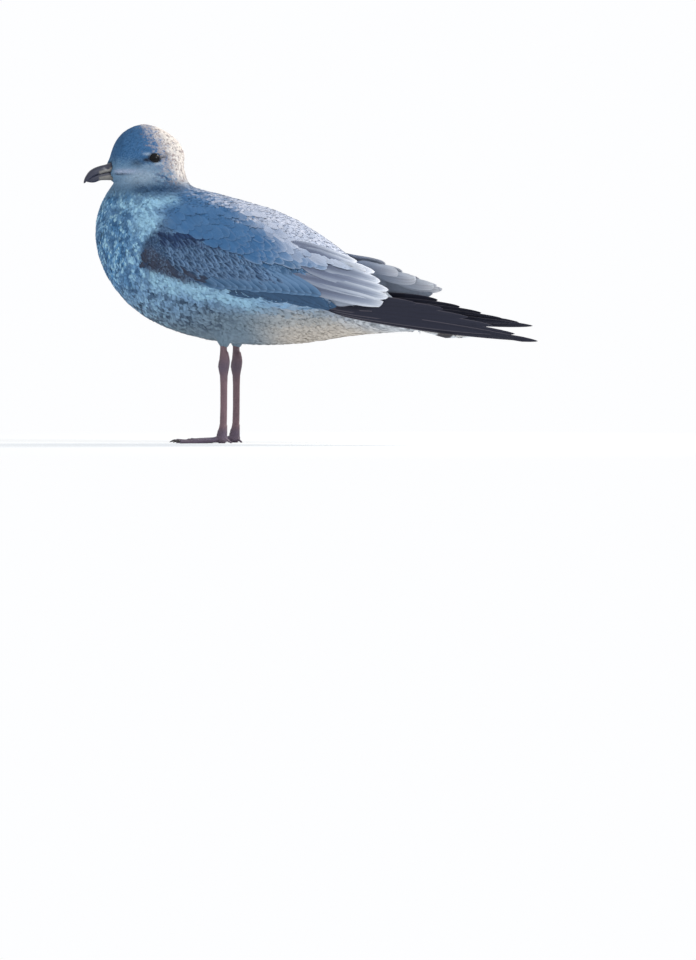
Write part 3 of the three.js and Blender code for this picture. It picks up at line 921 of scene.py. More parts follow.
# Round the eye: place before and above it, width, height and strength of each patch.
duskyPatches = [(7.0, -1.8, 3.6, 2.0, 1.1), (15.0, -4.6, 5.5, 3.4, 0.62), (-8.0, 0.6, 4.0, 1.6, 0.9),
                (-13.0, 3.0, 4.0, 1.6, 0.5)]
paleArcs = [(-3.4, -5.2, 3.4, 1.3, 1.0), (6.2, 3.4, 3.4, 1.2, 0.8), (4.5, -7.4, 4.5, 1.8, 0.35)]


def faceMarks(colour, spots, fleck):
    # Dusky lores and surround of the eye, pale arcs about it, pale streak over the gape.
    local = toHead(spots)
    before, above = local[:, 0] - eyeSpot[0], local[:, 2] - eyeSpot[1]
    sideOn = ease(np.abs(local[:, 1]), 5, 10)
    dusky = (1 - ease(np.hypot(before, above * 1.25), 5.0, 6.6)) * 0.95
    for ahead, over, wide, high, strength in duskyPatches:
        dusky = np.maximum(dusky, blob(before - ahead, above - over, wide, high) * strength)
    dusky *= sideOn
    arc = sum(blob(before - ahead, above - over, wide, high) * strength
              for ahead, over, wide, high, strength in paleArcs)
    arc = np.clip(arc, 0, 1) * sideOn
    gape = blob(before - 25, above + 12.2, 12, 2.2) * sideOn
    line = blob(before - 29, above + 14.6, 9, 0.9) * sideOn
    colour = paint(colour, "lore", dusky * (1.05 + 0.4 * fleck))
    colour = paint(colour, "lidPale", arc * 0.8)
    colour = paint(colour, "gape", gape * (0.7 + 0.4 * fleck))
    return paint(colour, "lore", line * 0.75), np.clip(dusky + arc + gape, 0, 1)


def markings(spots, ways, speckle):
    # Colour, fringe colour and strengths at each spot; speckle, 0 to 1, varies them by feather.
    x, y, z = ((spots - origin) / mm).T
    fleck = speckle - 0.5
    wobble = mottle(spots, 14, 3)
    colour, mark, markColour = bodyMarks(spots, ways, fleck, wobble)
    back, onBack = backMarks(spots, fleck, wobble)
    colour = mixColour(colour, back, onBack)
    mark *= 1 - onBack
    onHead = ease(toHead(spots)[:, 2], 211, 226) * (1 - ease(x, -42, -32))
    headColour, headMark, headMarkColour, cheekShadow, collar = headMarks(spots, fleck)
    colour = mixColour(colour, headColour, onHead)
    # the painted shadow under the cheek, carried onto the neck
    colour = paint(colour, "cheekShadow", cheekShadow * 0.6 * (1 - onHead))
    colour = paint(colour, "bright", collar * 0.6)
    mark = mark * (1 - onHead) + headMark * onHead * (1 - 0.5 * cheekShadow)
    markColour = mixColour(markColour, headMarkColour, onHead)
    colour, unmarked = faceMarks(colour, spots, fleck)
    mark *= 1 - unmarked

    # Folded wing: dark edge at the bend, brown-grey coverts, paler inside.
    wing = ease(np.abs(y), 36, 43) * ease(x - np.interp(z, *wingFront), -2.5, 2.5)
    wing *= ease(z - np.interp(x, *wingFoot), -2.5, 2.5) * (1 - onBack)
    inner = ease(-ways[:, 1] * np.sign(y), 0.1, 0.5) * ease(x, 70, 100)
    covert = mixColour(filled("covert", len(spots)), palette["panel"], ease(x, -6, 30) * 0.8)
    covert = paint(covert, "carpal", ease(170 - z - 0.75 * (x + 45), 0, 12) * (1 - ease(x, -20, 0)))
    rimDark = blob(x - np.interp(z, *wingFront) - 2, 0, 4, 1)
    covert = paint(covert, "marginal", rimDark * 0.75)
    colour = mixColour(colour, covert, wing)
    ends = np.maximum(ease(x, 92, 112) * ease(np.abs(y), 14, 22) * ease(z, 108, 116), inner)
    colour = paint(colour, "tertial", ends * 0.9)
    mark *= (1 - wing) * (1 - ends)
    fringe = paint(colour, "backPale", onBack * 0.5)
    fringe = paint(fringe, "covertFringe", wing * 0.7 * (1 - rimDark))
    return mixColour(colour, markColour, mark), fringe, mark, wing


skinTint = markings(envelope, envelopeNormals, np.full(len(envelope), 0.5))[0] * 0.9
skinTint = np.column_stack([skinTint, np.ones(len(skinTint))])
store(skinPiece.data, "tint", skinTint, "FLOAT_COLOR", "color")


# The coat: small feathers over the whole skin.
coat = {
    "fine": 0.72,
    "headFine": 0.84,
    "headAbove": 226,
    "length": 4.8,
    "lengths": (0.88, 1.14),
    "tones": (0.90, 1.08),
    "width": 1.16,
    "thickness": 0.09,
    "camber": 0.12,
    "candidates": 560000,
    "rows": (0, 0.36, 0.7, 1.0),
    "rise": (-0.15, 0.70, 0.92, 1.0),
    "rough": 0.05,
    "wander": 0.14,
    "tilt": 0.04,
    "ragged": 0.26,
    "pieceSize": 6200,
    # name, slot, breadth and softness of each region's feathers
    "regions": (("coat_head", "head_feathers", 1.0, 0.55), ("coat_breast", "body_feathers", 1.0, 0.55),
                ("coat_back", "body_feathers", 1.2, 0.8), ("coat_belly", "body_feathers", 1.2, 0.8)),
}
opening = {"wide": 4.9, "high": 4.1, "rim": 0.3, "radius": 6.1, "proud": 1.1, "surround": 8.5}
regions = {
    # the head's feathers: above this height on the head, and no further back than this
    "headAbove": 228,
    "headTo": -30,
    # the back's: above and behind these; the belly's: behind this
    "backAbove": 140,
    "backFrom": -45,
    "bellyFrom": 0,
    # none grow, behind the first of these, on the wings' flesh or, behind the second, close to the tail
    "wingFrom": 90,
    "tailFrom": 126,
    "tailGap": 2.2,
    # nor behind, above and outside these, where the wing is all long feathers
    "wingPoint": (95, 112, 24),
}


def eyeFrame(side):
    # Middle of the globe, and the ways across, up and out of the opening, square to the face.
    start = place(fromHead([eyeSpot[0], side * 40, eyeSpot[1]]))
    met = envelopeTree.ray_cast(Vector(start), Vector(-side * headAside), 0.05)
    surface = np.array(met[0])
    near = np.linalg.norm(envelope - surface, axis=1) < opening["surround"] * mm
    outward = unit(envelopeNormals[near].mean(axis=0))
    across = unit(np.cross(outward, headUp))
    middle = surface - outward * (opening["radius"] - opening["proud"]) * mm
    return middle, across, unit(np.cross(across, outward)), outward


eyeFrames = {side: eyeFrame(side) for side in (1, -1)}


def fromOpening(spots, side):
    # How far, in metres, each spot lies outside the lids, and the way towards the eye.
    middle, across, upward, outward = eyeFrames[side]
    offset = spots - middle
    flat = np.stack([offset @ across, offset @ upward], axis=1)
    turn = np.arctan2(flat[:, 1] / opening["high"], flat[:, 0] / opening["wide"])
    limit = np.hypot(np.cos(turn) * (opening["wide"] + opening["rim"]),
                     np.sin(turn) * (opening["high"] + opening["rim"]))
    gap = np.hypot(flat[:, 0], flat[:, 1]) - limit * mm
    gap = np.where(offset @ outward > 0, gap, 1.0)
    return gap, unit(-(flat[:, :1] * across + flat[:, 1:] * upward))


def candidates():
    # Random places on the envelope, denser where feathers are closer, with the spacing there.
    a, b, c = (envelope[triangles[:, corner]] for corner in range(3))
    area = np.linalg.norm(np.cross(b - a, c - a), axis=1) / 2
    middle = (a + b + c) / 3
    spacing = lieAt(middle)[2] * coat["fine"]
    spacing = np.where(toHead(middle)[:, 2] > coat["headAbove"], spacing * coat["headFine"], spacing)
    density = area / spacing ** 2
    picked = chance.choice(len(triangles), coat["candidates"], p=density / density.sum())
    first, second = chance.random((2, coat["candidates"]))
    turned = first + second > 1
    first[turned], second[turned] = 1 - first[turned], 1 - second[turned]
    return a[picked] + (b - a)[picked] * first[:, None] + (c - a)[picked] * second[:, None], spacing[picked]


def scatter(cell=0.006):
    # Places for feathers, never closer than the spacing there.
    spots, gap = candidates()
    grid, kept = {}, []
    around = [(i, j, k) for i in (-1, 0, 1) for j in (-1, 0, 1) for k in (-1, 0, 1)]
    keys = np.floor(spots / cell).astype(int).tolist()

    def crowded(spot, need, key):
        reach = need * need
        for i, j, k in around:
            for other in grid.get((key[0] + i, key[1] + j, key[2] + k), ()):
                x, y, z = other[0] - spot[0], other[1] - spot[1], other[2] - spot[2]
                if x * x + y * y + z * z < reach:
                    return True
        return False

    for index, (spot, need, key) in enumerate(zip(spots.tolist(), gap.tolist(), keys)):
        if not crowded(spot, need, key):
            grid.setdefault(tuple(key), []).append(spot)
            kept.append(index)
    return spots[kept], gap[kept]


def coatFeathers(spots, spacing):
    # Spine, side and up of feathers that lie along the body from each spot, with their length,
    # place on the unwrap and the body's own way out.
    count = len(spots)
    heading = lieAt(spots)[0]
    position, way, depth, patch = onEnvelope(spots)
    length = spacing * coat["length"] * chance.uniform(*coat["lengths"], count)
    for eyeSide in (1, -1):
        # the tiny feathers before the eye stop at the lid
        gap, inwards = fromOpening(position, eyeSide)
        towards = np.maximum((heading * inwards).sum(axis=1), 0.15)
        length = np.minimum(length, np.maximum(gap, 0.4 * mm) / towards + 0.5 * mm)
    spine, side, up = np.empty((3, count, len(coat["rows"]), 3))
    roll = chance.normal(0, coat["wander"], count)
    lift = chance.normal(0, coat["rough"], count)
    normal, before = way, 0
    for row, (share, climb) in enumerate(zip(coat["rows"], coat["rise"])):
        if row:
            step = length * (share - before)
            guess = position + heading * step[:, None]
            snapped, snapWay, snapDepth, _ = onEnvelope(guess)
            off = np.linalg.norm(snapped - guess, axis=1)
            turnAway = (snapWay * normal).sum(axis=1)
            hold = (off > step * 0.55) | (turnAway < 0.55)
            position = np.where(hold[:, None], guess, snapped)
            normal = unit(np.where(hold[:, None], normal, snapWay))
            depth = np.where(hold, depth, snapDepth)
        heading = unit(heading - normal * (heading * normal).sum(axis=1, keepdims=True))
        if row == 0:
            swing = np.cross(normal, heading)
            heading = unit(heading * np.cos(roll)[:, None] + swing * np.sin(roll)[:, None])
        spine[:, row] = position + normal * (depth * (climb - 1 + share * lift))[:, None]
        side[:, row] = unit(np.cross(normal, heading))
        up[:, row] = normal
        before = share
    tilt = chance.normal(0, coat["tilt"], count)[:, None, None]
    side, up = unit(side + up * tilt), unit(up - side * tilt)
    return spine, side, up, length, patch, way


def plumage(name, fringeWidth=0.4, tipWidth=0.22, barbs=26, slant=0.35, depth=0.25, shaft=0.10, band=None,
            lean=0.0, strands=0.0):
    # Feather colour from its own attributes, edged and streaked along the vane.
    material, tree = newMaterial(name)
    vane = addNode(tree, "UVMap", uv_map="vane")[0]
    parts = addNode(tree, "SeparateXYZ", {0: vane})
    across = doMath(tree, "ABSOLUTE", minus(tree, parts[0], 0.5 - lean))
    across = times(tree, across, 2.0 / (1 + 2 * lean))
    along = parts[1]
    tint, fringe = readNode(tree, "tint"), readNode(tree, "fringe")
    edge = doMath(tree, "MAXIMUM", rampNode(tree, across, 1 - fringeWidth, 0.96),
                  rampNode(tree, along, 1 - tipWidth, 0.97))
    edge = times(tree, edge, fringe["Alpha"], clamp=True)
    colour = mixNode(tree, edge, tint["Color"], fringe["Color"])
    if band:
        low, high, dark = band
        wave = addNode(tree, "TexNoise", {"Scale": 130})["Fac"]
        shifted = plus(tree, along, times(tree, minus(tree, wave, 0.5), 0.05))
        inside = times(tree, rampNode(tree, shifted, low - 0.012, low + 0.012),
                       minus(tree, 1.0, rampNode(tree, shifted, high - 0.01, high + 0.01)))
        colour = mixNode(tree, times(tree, inside, tint["Alpha"]), colour, dark)
    else:
        streak = minus(tree, 1.0, rampNode(tree, across, 0.03, 0.22))
        darker = mixNode(tree, 1.0, colour, (0.45, 0.42, 0.42), "MULTIPLY")
        colour = mixNode(tree, times(tree, streak, tint["Alpha"]), colour, darker)
    lines = plus(tree, times(tree, along, float(barbs)), times(tree, across, -barbs * slant))
    barb = doMath(tree, "SINE", times(tree, lines, 2 * math.pi))
    relief = plus(tree, times(tree, barb, 0.35), noiseNode(tree, 900, 3))
    relief = plus(tree, relief, minus(tree, 1.0, rampNode(tree, across, 0.0, shaft)))
    if strands:
        # long soft streaks down the vane, different on every feather
        height = addNode(tree, "SeparateXYZ", {0: spotNode(tree)})[2]
        stretch = addNode(tree, "CombineXYZ", {0: times(tree, parts[0], 7.0), 1: times(tree, along, 1.4),
                                               2: times(tree, height, 90.0)})[0]
        streaky = addNode(tree, "TexNoise", {"Vector": stretch, "Scale": 1.0, "Detail": 3})["Fac"]
        relief = plus(tree, relief, times(tree, minus(tree, streaky, 0.5), strands))
    colour = shaded(tree, colour, plus(tree, times(tree, relief, 0.16), 0.88))
    return finishMaterial(material, colour, 0.78, relief, depth, extra={"Specular IOR Level": 0.28})


def downMaterial(name):
    # The skin between the feathers: the same markings, soft and a little darker.
    material, tree = newMaterial(name)
    noise = noiseNode(tree, 420, 4)
    colour = shaded(tree, readNode(tree, "tint")["Color"], plus(tree, times(tree, noise, 0.4), 0.72))
    return finishMaterial(material, colour, 0.9, noise, 0.4, 0.0003)


def treeOf(name):
    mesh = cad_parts[name].data
    mesh.calc_loop_triangles()
    return treeFrom([v.co for v in mesh.vertices], [t.vertices for t in mesh.loop_triangles])


softPlumage = plumage("softPlumage", fringeWidth=0.5, tipWidth=0.3, barbs=9, depth=0.15)
skinPiece.data.materials.clear()
skinPiece.data.materials.append(downMaterial("downySkin"))


def nearestTo(tree, spots):
    return np.array([tree.find_nearest(Vector(spot))[3] for spot in spots])


def coatRegions(spots):
    # Which piece each feather belongs to; -1 where no small feather grows.
    x, y, z = ((spots - origin) / mm).T
    head, breast, back, belly = range(4)
    region = np.full(len(spots), breast)
    region[(toHead(spots)[:, 2] > regions["headAbove"]) & (x < regions["headTo"])] = head
    region[(region == breast) & (z > regions["backAbove"]) & (x > regions["backFrom"])] = back
    region[(region == breast) & (x > regions["bellyFrom"])] = belly
    rear = np.flatnonzero(x > regions["wingFrom"])
    gaps = [nearestTo(treeOf(name), spots[rear]) for name in ("wing_left", "wing_right", "trunk", "tail")]
    region[rear[np.argmin(gaps, axis=0) < 2]] = -1
    last = np.flatnonzero(x > regions["tailFrom"])
    region[last[nearestTo(treeOf("tail"), spots[last]) < regions["tailGap"] * mm]] = -1
    behind, over, outside = regions["wingPoint"]
    region[(x > behind) & (z > over) & (np.abs(y) > outside)] = -1
    for side in (1, -1):
        region[fromOpening(spots, side)[0] < 0] = -1
    return region


def makeCoat():
    spots, spacing = scatter()
    region = coatRegions(spots)
    keep = region >= 0
    spots, spacing, region = spots[keep], spacing[keep], region[keep]
    spine, side, up, length, patch, way = coatFeathers(spots, spacing)
    # each feather is coloured at its foot and at its tip, so that fields run into one another
    speckle = chance.random(len(spots))
    vary = chance.uniform(*coat["tones"], (len(spots), 1))
    dress = []
    for row in (1, 3):
        tint, fringe, mark, wing = markings(spine[:, row], way, speckle)
        dress.append((np.column_stack([tint * vary, 0.2 * mark + 0.3 * wing]),
                      np.column_stack([fringe * vary, 0.2 + 0.5 * wing])))
    tint, fringe = (np.stack(pair, axis=1) for pair in zip(*dress))
    for number, (name, slotName, broad, soft) in enumerate(coat["regions"]):
        chosen = np.flatnonzero(region == number)
        chosen = chosen[np.argsort(spots[chosen, 1])]
        parts = np.array_split(chosen, math.ceil(len(chosen) / coat["pieceSize"]))
        for index, part in enumerate(parts):
            title = name if len(parts) == 1 else f"{name}_{index + 1}"
            half = (length[part] / coat["length"] * coat["width"] * broad)[:, None] * np.ones((1, 4))
            piece = vaneMesh(title, smallVane(), spine[part], side[part], up[part], half,
                             (tint[part], fringe[part], patch[part]), coat["thickness"] * mm,
                             coat["camber"], soft=soft, ragged=coat["ragged"])
            piece.data.materials.append(softPlumage)
            settle(piece, slotName)


makeCoat()


# Wing and tail feathers, laid one by one.
def sidePlace(x, z, side, trees, faced):
    # The first surface of that side's half met at x and z, from without or,
    # where faced differs from side, from within.
    start = Vector(place([x, faced * 120, z]))
    best = None
    for tree in trees:
        hit = tree.ray_cast(start, Vector((0, -faced, 0)), 0.2)
        if hit[0] is not None and hit[0].y * side > 5 * mm and (best is None or hit[3] < best[2]):
            best = (hit[0], hit[1], hit[3])
    return best


def stepsOf(count):
    # Steps from base to tip, closer together towards the tip.
    return 1 - (1 - np.linspace(0, 1, count)) ** 1.7


def sideSpines(rows, side, trees, count, inward=False):
    # rows: base x, base z, tip x, tip z, bow, lift at base, lift at tip. The bow drops the middle.
    shape, ups = np.zeros((2, len(rows), count, 3))
    steps = stepsOf(count)
    faced = -side if inward else side
    for index, (baseX, baseZ, tipX, tipZ, bow, liftBase, liftTip) in enumerate(rows):
        run = np.array([tipX - baseX, tipZ - baseZ])
        across = np.array([run[1], -run[0]]) / np.hypot(*run)
        bowed = (across * bow) * (4 * steps * (1 - steps))[:, None]
        flat = np.array([baseX, baseZ]) + steps[:, None] * run + bowed
        known, met, ways = [], [], []
        for step, (x, z) in zip(steps, flat):
            found = sidePlace(x, z, side, trees, faced)
            if found is not None and found[1].y * faced > 0.1:
                known.append(step)
                met.append(np.array(found[0]))
                ways.append(np.array(found[1]))
        met, ways = np.array(met), np.array(ways)
        y = onwards(np.array(known), met[:, 1], steps)
        way = unit(ways.mean(axis=0)[None])[0]
        ways = np.array([np.interp(steps, known, ways[:, axis]) for axis in range(3)]).T
        ways = unit(0.5 * ways + 0.5 * way)
        lift = (liftBase + (liftTip - liftBase) * steps) * mm
        spots = np.column_stack([place(np.column_stack([flat[:, 0], flat[:, 0] * 0, flat[:, 1]]))[:, 0], y,
                                 flat[:, 1] * mm])
        shape[index] = spots + ways * lift[:, None]
        ups[index] = ways
    return shape, ups


def onwards(known, values, steps):
    # Values at every step, carried straight on past the known ones and eased a little.
    ends = []
    for edge, inner in ((0, min(2, len(known) - 1)), (-1, max(-4, -len(known)))):
        ends.append((values[edge] - values[inner]) / (known[edge] - known[inner]))
    line = np.interp(steps, known, values)
    line = np.where(steps < known[0], values[0] + ends[0] * (steps - known[0]), line)
    line = np.where(steps > known[-1], values[-1] + ends[1] * (steps - known[-1]), line)
    for _ in range(3):
        line[1:-1] = 0.25 * line[:-2] + 0.5 * line[1:-1] + 0.25 * line[2:]
    return line


def roundedWidth(count, blunt, base=0.35, full=0.35, power=0.5):
    # A feather's width along its length: narrow where it grows, full, then rounded off.
    steps = stepsOf(count)
    end = np.clip((steps - 0.45) / 0.55, 0, 1)
    return (base + (1 - base) * ease(steps, 0, full)) * (1 - end ** blunt) ** power


def largePiece(name, spine, up, widths, profile, thickness, camber, dress, material, patchSize=0.003,
               columns=4, soft=0.0):
    heading = unit(np.gradient(spine, axis=1))
    side = unit(np.cross(up, heading))
    lifted = unit(np.cross(heading, side))
    half = np.asarray(widths)[:, None] * mm * profile[None, :]
    piece = vaneMesh(name, longVane(spine.shape[1] - 1, columns), spine, side, lifted, half, dress,
                     thickness * mm, camber, patchSize, soft)
    piece.data.materials.append(material)
    return piece


def patchesFor(spine):
    return onEnvelope(spine[:, 0])[3]


def joinRows(name, parts, profile, thickness, camber, material, soft):
    # Every row's feathers in one piece.
    spine, up, half, tint, fringe = (np.concatenate(values) for values in zip(*parts))
    return largePiece(name, spine, up, half, profile, thickness, camber, (tint, fringe, patchesFor(spine)),
                      material, soft=soft)


def stripPiece(name, spine, up, widths, profile, thickness, camber, dress, columns, material):
    # Large feathers that each have a strip of the piece's own map.
    count = len(spine)
    strips = np.column_stack([(np.arange(count) + 0.5) / count, np.full(count, 0.01)])
    return largePiece(name, spine, up, widths, profile, thickness, camber, (*dress, strips), material,
                      (0.9 / count, 0.97), columns)


def varied(colour, count, spreadBy=0.06, alpha=1.0):
    tone = chance.uniform(1 - spreadBy, 1 + spreadBy, (count, 1))
    return np.column_stack([np.asarray(colour)[None] * tone, np.full(count, alpha)])


# Rows of coverts, from the side: first and last base (x, z), first and last tip, count,
# half width, lift, colour, edge colour and how strongly the edge shows.
covertRows = [
    # smooth dark patch behind the bend
    ((-67, 182), (-68, 162), (-60, 168), (-63, 153), 10, 2.2, 0.30, "carpal", "carpal", 0.3),
    ((-64, 180), (-65, 162), (-50, 164), (-50, 151), 11, 2.4, 0.35, "carpal", "covert", 0.4),
    ((-56, 174), (-56, 158), (-36, 157), (-30, 146), 11, 2.6, 0.40, "carpal", "covert", 0.4),
    ((-44, 166), (-42, 152), (-20, 150), (-4, 142), 10, 2.8, 0.45, "carpal", "covert", 0.4),
    # median and lesser coverts, laid from the lowest row up
    ((-34, 163), (40, 158), (-15, 148), (64, 141), 22, 2.9, 0.45, "covert", "covertFringe", 0.70),
    ((-43, 168), (34, 162), (-24, 152), (56, 145), 25, 2.8, 0.50, "covert", "covertFringe", 0.75),
    ((-49, 173), (28, 167), (-33, 157), (48, 150), 26, 2.7, 0.55, "covert", "covertFringe", 0.80),
    ((-53, 178), (22, 173), (-38, 162), (40, 156), 26, 2.6, 0.60, "covert", "covertFringe", 0.75),
    ((-55, 183), (14, 180), (-42, 168), (30, 163), 25, 2.6, 0.64, "covert", "covertFringe", 0.65),
    ((-56, 187), (6, 187), (-44, 174), (20, 171), 24, 2.6, 0.68, "marginal", "covertFringe", 0.40),
    # dark marginal row
    ((-58, 191), (-8, 192), (-48, 180), (6, 179), 22, 2.7, 0.72, "marginal", "covert", 0.40),
]
# Rows of larger feathers under them: bases and tips of the first and the last, count and half width.
greaterCoverts = {
    "base": ((-30, 156), (56, 157)),
    "tip": ((2, 139), (100, 131)),
    "count": 15,
    "half": 5.6,
}
secondaries = {
    "base": ((-10, 146), (66, 146)),
    "tip": ((30, 132.5), (112, 118.5)),
    "count": 14,
    "half": 6.0,
}
# Scapulars: larger grey feathers over the top of the wing. First and last base (x, z), first and
# last tip, count, half width, lift and how strongly the pale edge shows.
scapularRows = [
    ((56, 180), (88, 171), (92, 159), (124, 152), 10, 4.2, 1.9, 0.9),
    ((8, 178), (72, 172), (38, 160), (104, 153), 13, 5.0, 1.5, 0.8),
    ((-10, 185), (64, 178), (18, 168), (96, 157), 15, 5.0, 1.45, 0.8),
    ((-26, 192), (56, 184), (-2, 175), (86, 164), 17, 5.0, 1.3, 0.7),
    ((-44, 199), (48, 191), (-22, 183), (76, 171), 19, 5.0, 1.15, 0.7),
    ((-54, 204), (40, 198), (-36, 188), (66, 179), 19, 4.8, 0.90, 0.6),
    ((-52, 210), (32, 205), (-34, 195), (56, 187), 17, 4.6, 0.85, 0.6),
    ((-48, 216), (22, 211), (-30, 203), (44, 197), 15, 4.4, 0.80, 0.6),
]


def rowLines(first, last, tipFirst, tipLast, count, liftBase, liftTip, bow=0.0, jitter=0.7):
    share = (np.arange(count) + 0.5) / count
    base = np.array(first) + share[:, None] * (np.array(last) - np.array(first))
    tip = np.array(tipFirst) + share[:, None] * (np.array(tipLast) - np.array(tipFirst))
    base = base + chance.normal(0, jitter * 0.5, base.shape)
    tip = tip + chance.normal(0, jitter, tip.shape)
    fixed = np.column_stack([np.full(count, bow), np.full(count, liftBase), np.full(count, liftTip)])
    return np.column_stack([base, tip, fixed])


coarsePlumage = plumage("coarsePlumage", fringeWidth=0.9, tipWidth=0.45, barbs=20, depth=0.2, shaft=0.08,
                        lean=0.12, strands=3.0)
mantlePlumage = plumage("mantlePlumage", fringeWidth=0.5, tipWidth=0.35, barbs=24, depth=0.15, shaft=0.05,
                        strands=1.6)
tertialPlumage = plumage("tertialPlumage", fringeWidth=0.8, tipWidth=0.4, barbs=60, slant=0.25, depth=0.25,
                         shaft=0.05, strands=3.4)
flightPlumage = plumage("flightPlumage", fringeWidth=0.2, tipWidth=0.05, barbs=80, slant=0.25, depth=0.3,
                        shaft=0.06)
tailPlumage = plumage("tailPlumage", fringeWidth=0.12, tipWidth=0.03, barbs=80, slant=0.25, depth=0.3,
                      shaft=0.07, band=(0.80, 0.945, tuple(palette["tailBand"])))


def makeCoverts(side, label):
    parts = []
    for first, last, tipFirst, tipLast, count, half, lift, tone, edge, edged in covertRows:
        lines = rowLines(first, last, tipFirst, tipLast, count, -0.9, lift)
        lines[:, 2:4] += chance.normal(0, 1.2, (count, 2))
        slide = chance.uniform(-0.4, 0.4, (count, 1)) * (np.array(last) - np.array(first)) / count
        lines[:, 0:2] += slide
        lines[:, 2:4] += slide
        spine, up = sideSpines(lines, side, [envelopeTree], 7)
        tint = varied(palette[tone], count, 0.22, 0.8)
        fringe = varied(palette[edge], count, 0.12, edged)
        fringe[:, 3] *= chance.uniform(0.6, 1.0, count)
        parts.append((spine, up, np.full(count, half) * chance.uniform(0.92, 1.1, count), tint, fringe))
    return joinRows("coverts_" + label, parts, roundedWidth(7, 2.4), 0.14, 0.14, coarsePlumage, 0.45)


def makeScapulars(side, label):
    parts = []
    for first, last, tipFirst, tipLast, count, half, lift, edged in scapularRows:
        lines = rowLines(first, last, tipFirst, tipLast, count, -0.9, lift)
        lines[:, 2:4] += (lines[:, 2:4] - lines[:, 0:2]) * chance.uniform(-0.16, 0.22, (count, 1))
        spine, up = sideSpines(lines, side, [envelopeTree], 8)
        # the same markings as the small feathers round them, painted sunlight on the back included, at the
        # foot and at the tip
        vary = chance.uniform(0.94, 1.06, (count, 1))
        speckle = chance.uniform(0.42, 0.58, count)
        tint = np.stack([np.column_stack([markings(spine[:, row], up[:, row], speckle)[0] * vary,
                                          np.full(count, 0.1)]) for row in (2, 6)], axis=1)
        fringe = varied(palette["scapularTip"], count, 0.05, edged)
        fringe[:, 3] *= ease(lines[:, 2], 0, 110) * 0.62 + 0.06
        parts.append((spine, up, np.full(count, half) * chance.uniform(0.95, 1.08, count), tint, fringe))
    return joinRows("scapulars_" + label, parts, roundedWidth(8, 1.7), 0.16, 0.10, mantlePlumage, 0.7)


def makePanel(side, label):
    # Greater coverts over the secondaries.
    parts = []
    for table, lift, tone, edge, edged in ((secondaries, 0.15, "secondary", "panel", 0.5),
                                           (greaterCoverts, 0.45, "panel", "covertFringe", 0.45)):
        count = table["count"]
        lines = rowLines(*table["base"], *table["tip"], count, -0.8, lift, bow=1.2, jitter=0.5)
        lines[:, 6] += np.linspace(0, 0.5, count)
        spine, up = sideSpines(lines, side, [envelopeTree], 9)
        parts.append((spine, up, np.full(count, table["half"]), varied(palette[tone], count, 0.07, 0.5),
                      varied(palette[edge], count, 0.05, edged)))
    return joinRows("panel_" + label, parts, roundedWidth(9, 3.0, 0.5), 0.18, 0.08, coarsePlumage, 0.4)


# Tertials: base x and z, tip x and z, bow, lift at base and tip, half width.
tertials = {
    "left": [
        (70, 142, 150, 122.5, 0.5, 0.1, 0.5, 6.0),
        (72, 150, 152, 128.5, 0.5, 0.3, 0.7, 6.4),
        (74, 158, 150, 135.0, 0.5, 0.5, 0.9, 6.8),
        (74, 166, 142, 142.5, 0.5, 0.7, 1.1, 7.0),
        (72, 173, 132, 151.0, 0.5, 0.9, 1.3, 7.0),
        (66, 178, 118, 160.0, 0.5, 1.1, 1.5, 7.0),
    ],
    "right": [
        (72, 138, 170, 128.0, 1.0, 0.1, 0.4, 6.4),
        (76, 146, 190, 136.2, 1.5, 0.3, 0.6, 6.2),
        (78, 153, 186, 139.4, 2.0, 0.5, 0.8, 6.0),
        (78, 160, 170, 145.2, 2.5, 0.7, 1.0, 6.4),
        (74, 166, 154, 152.0, 2.5, 0.9, 1.2, 6.8),
        (70, 171, 138, 158.6, 2.5, 1.1, 1.4, 7.0),
    ],
}


def makeTertials(side, label):
    # Outer faces of the long inner feathers, and the faces turned to the back.
    rows = np.array(tertials[label], float)
    pieces = []
    for inward in (False, True):
        chosen = rows[1:5].copy() if inward else rows
        if inward:
            chosen[:, 2] -= 2
            chosen[:, 0] = chosen[:, 2] - 44
            chosen[:, 1] = chosen[:, 3] + 9
        trees = [treeOf("wing_" + label)] if inward else [treeOf("wing_" + label), envelopeTree]
        spine, up = sideSpines(chosen[:, :7], side, trees, 11, inward)
        count = len(chosen)
        # the far wing's tertials and the faces turned to the back get the paler colours: painted sunlight
        pale = inward or label == "right"
        foot = varied(palette["tertial" if pale else "tertialFoot"], count, 0.06, 0.25)
        far = varied(palette["tertialPaintedSun" if inward else "tertial"], count, 0.05, 0.25)
        edge = varied(palette["tertialEdge"], count, 0.02, 0.8)
        footEdge = edge * np.array([0.8, 0.85, 0.9, 0.3])
        dress = (np.stack([foot, far], axis=1), np.stack([footEdge, edge], axis=1), patchesFor(spine))
        title = "tertials_inner_" + label if inward else "tertials_" + label
        profile = roundedWidth(11, 4.5 if pale else 3.2, 0.5)
        pieces.append(largePiece(title, spine, up, chosen[:, 7], profile, 0.26, 0.10, dress, tertialPlumage,
                                 soft=0.3 if inward else 0.4))
    return pieces


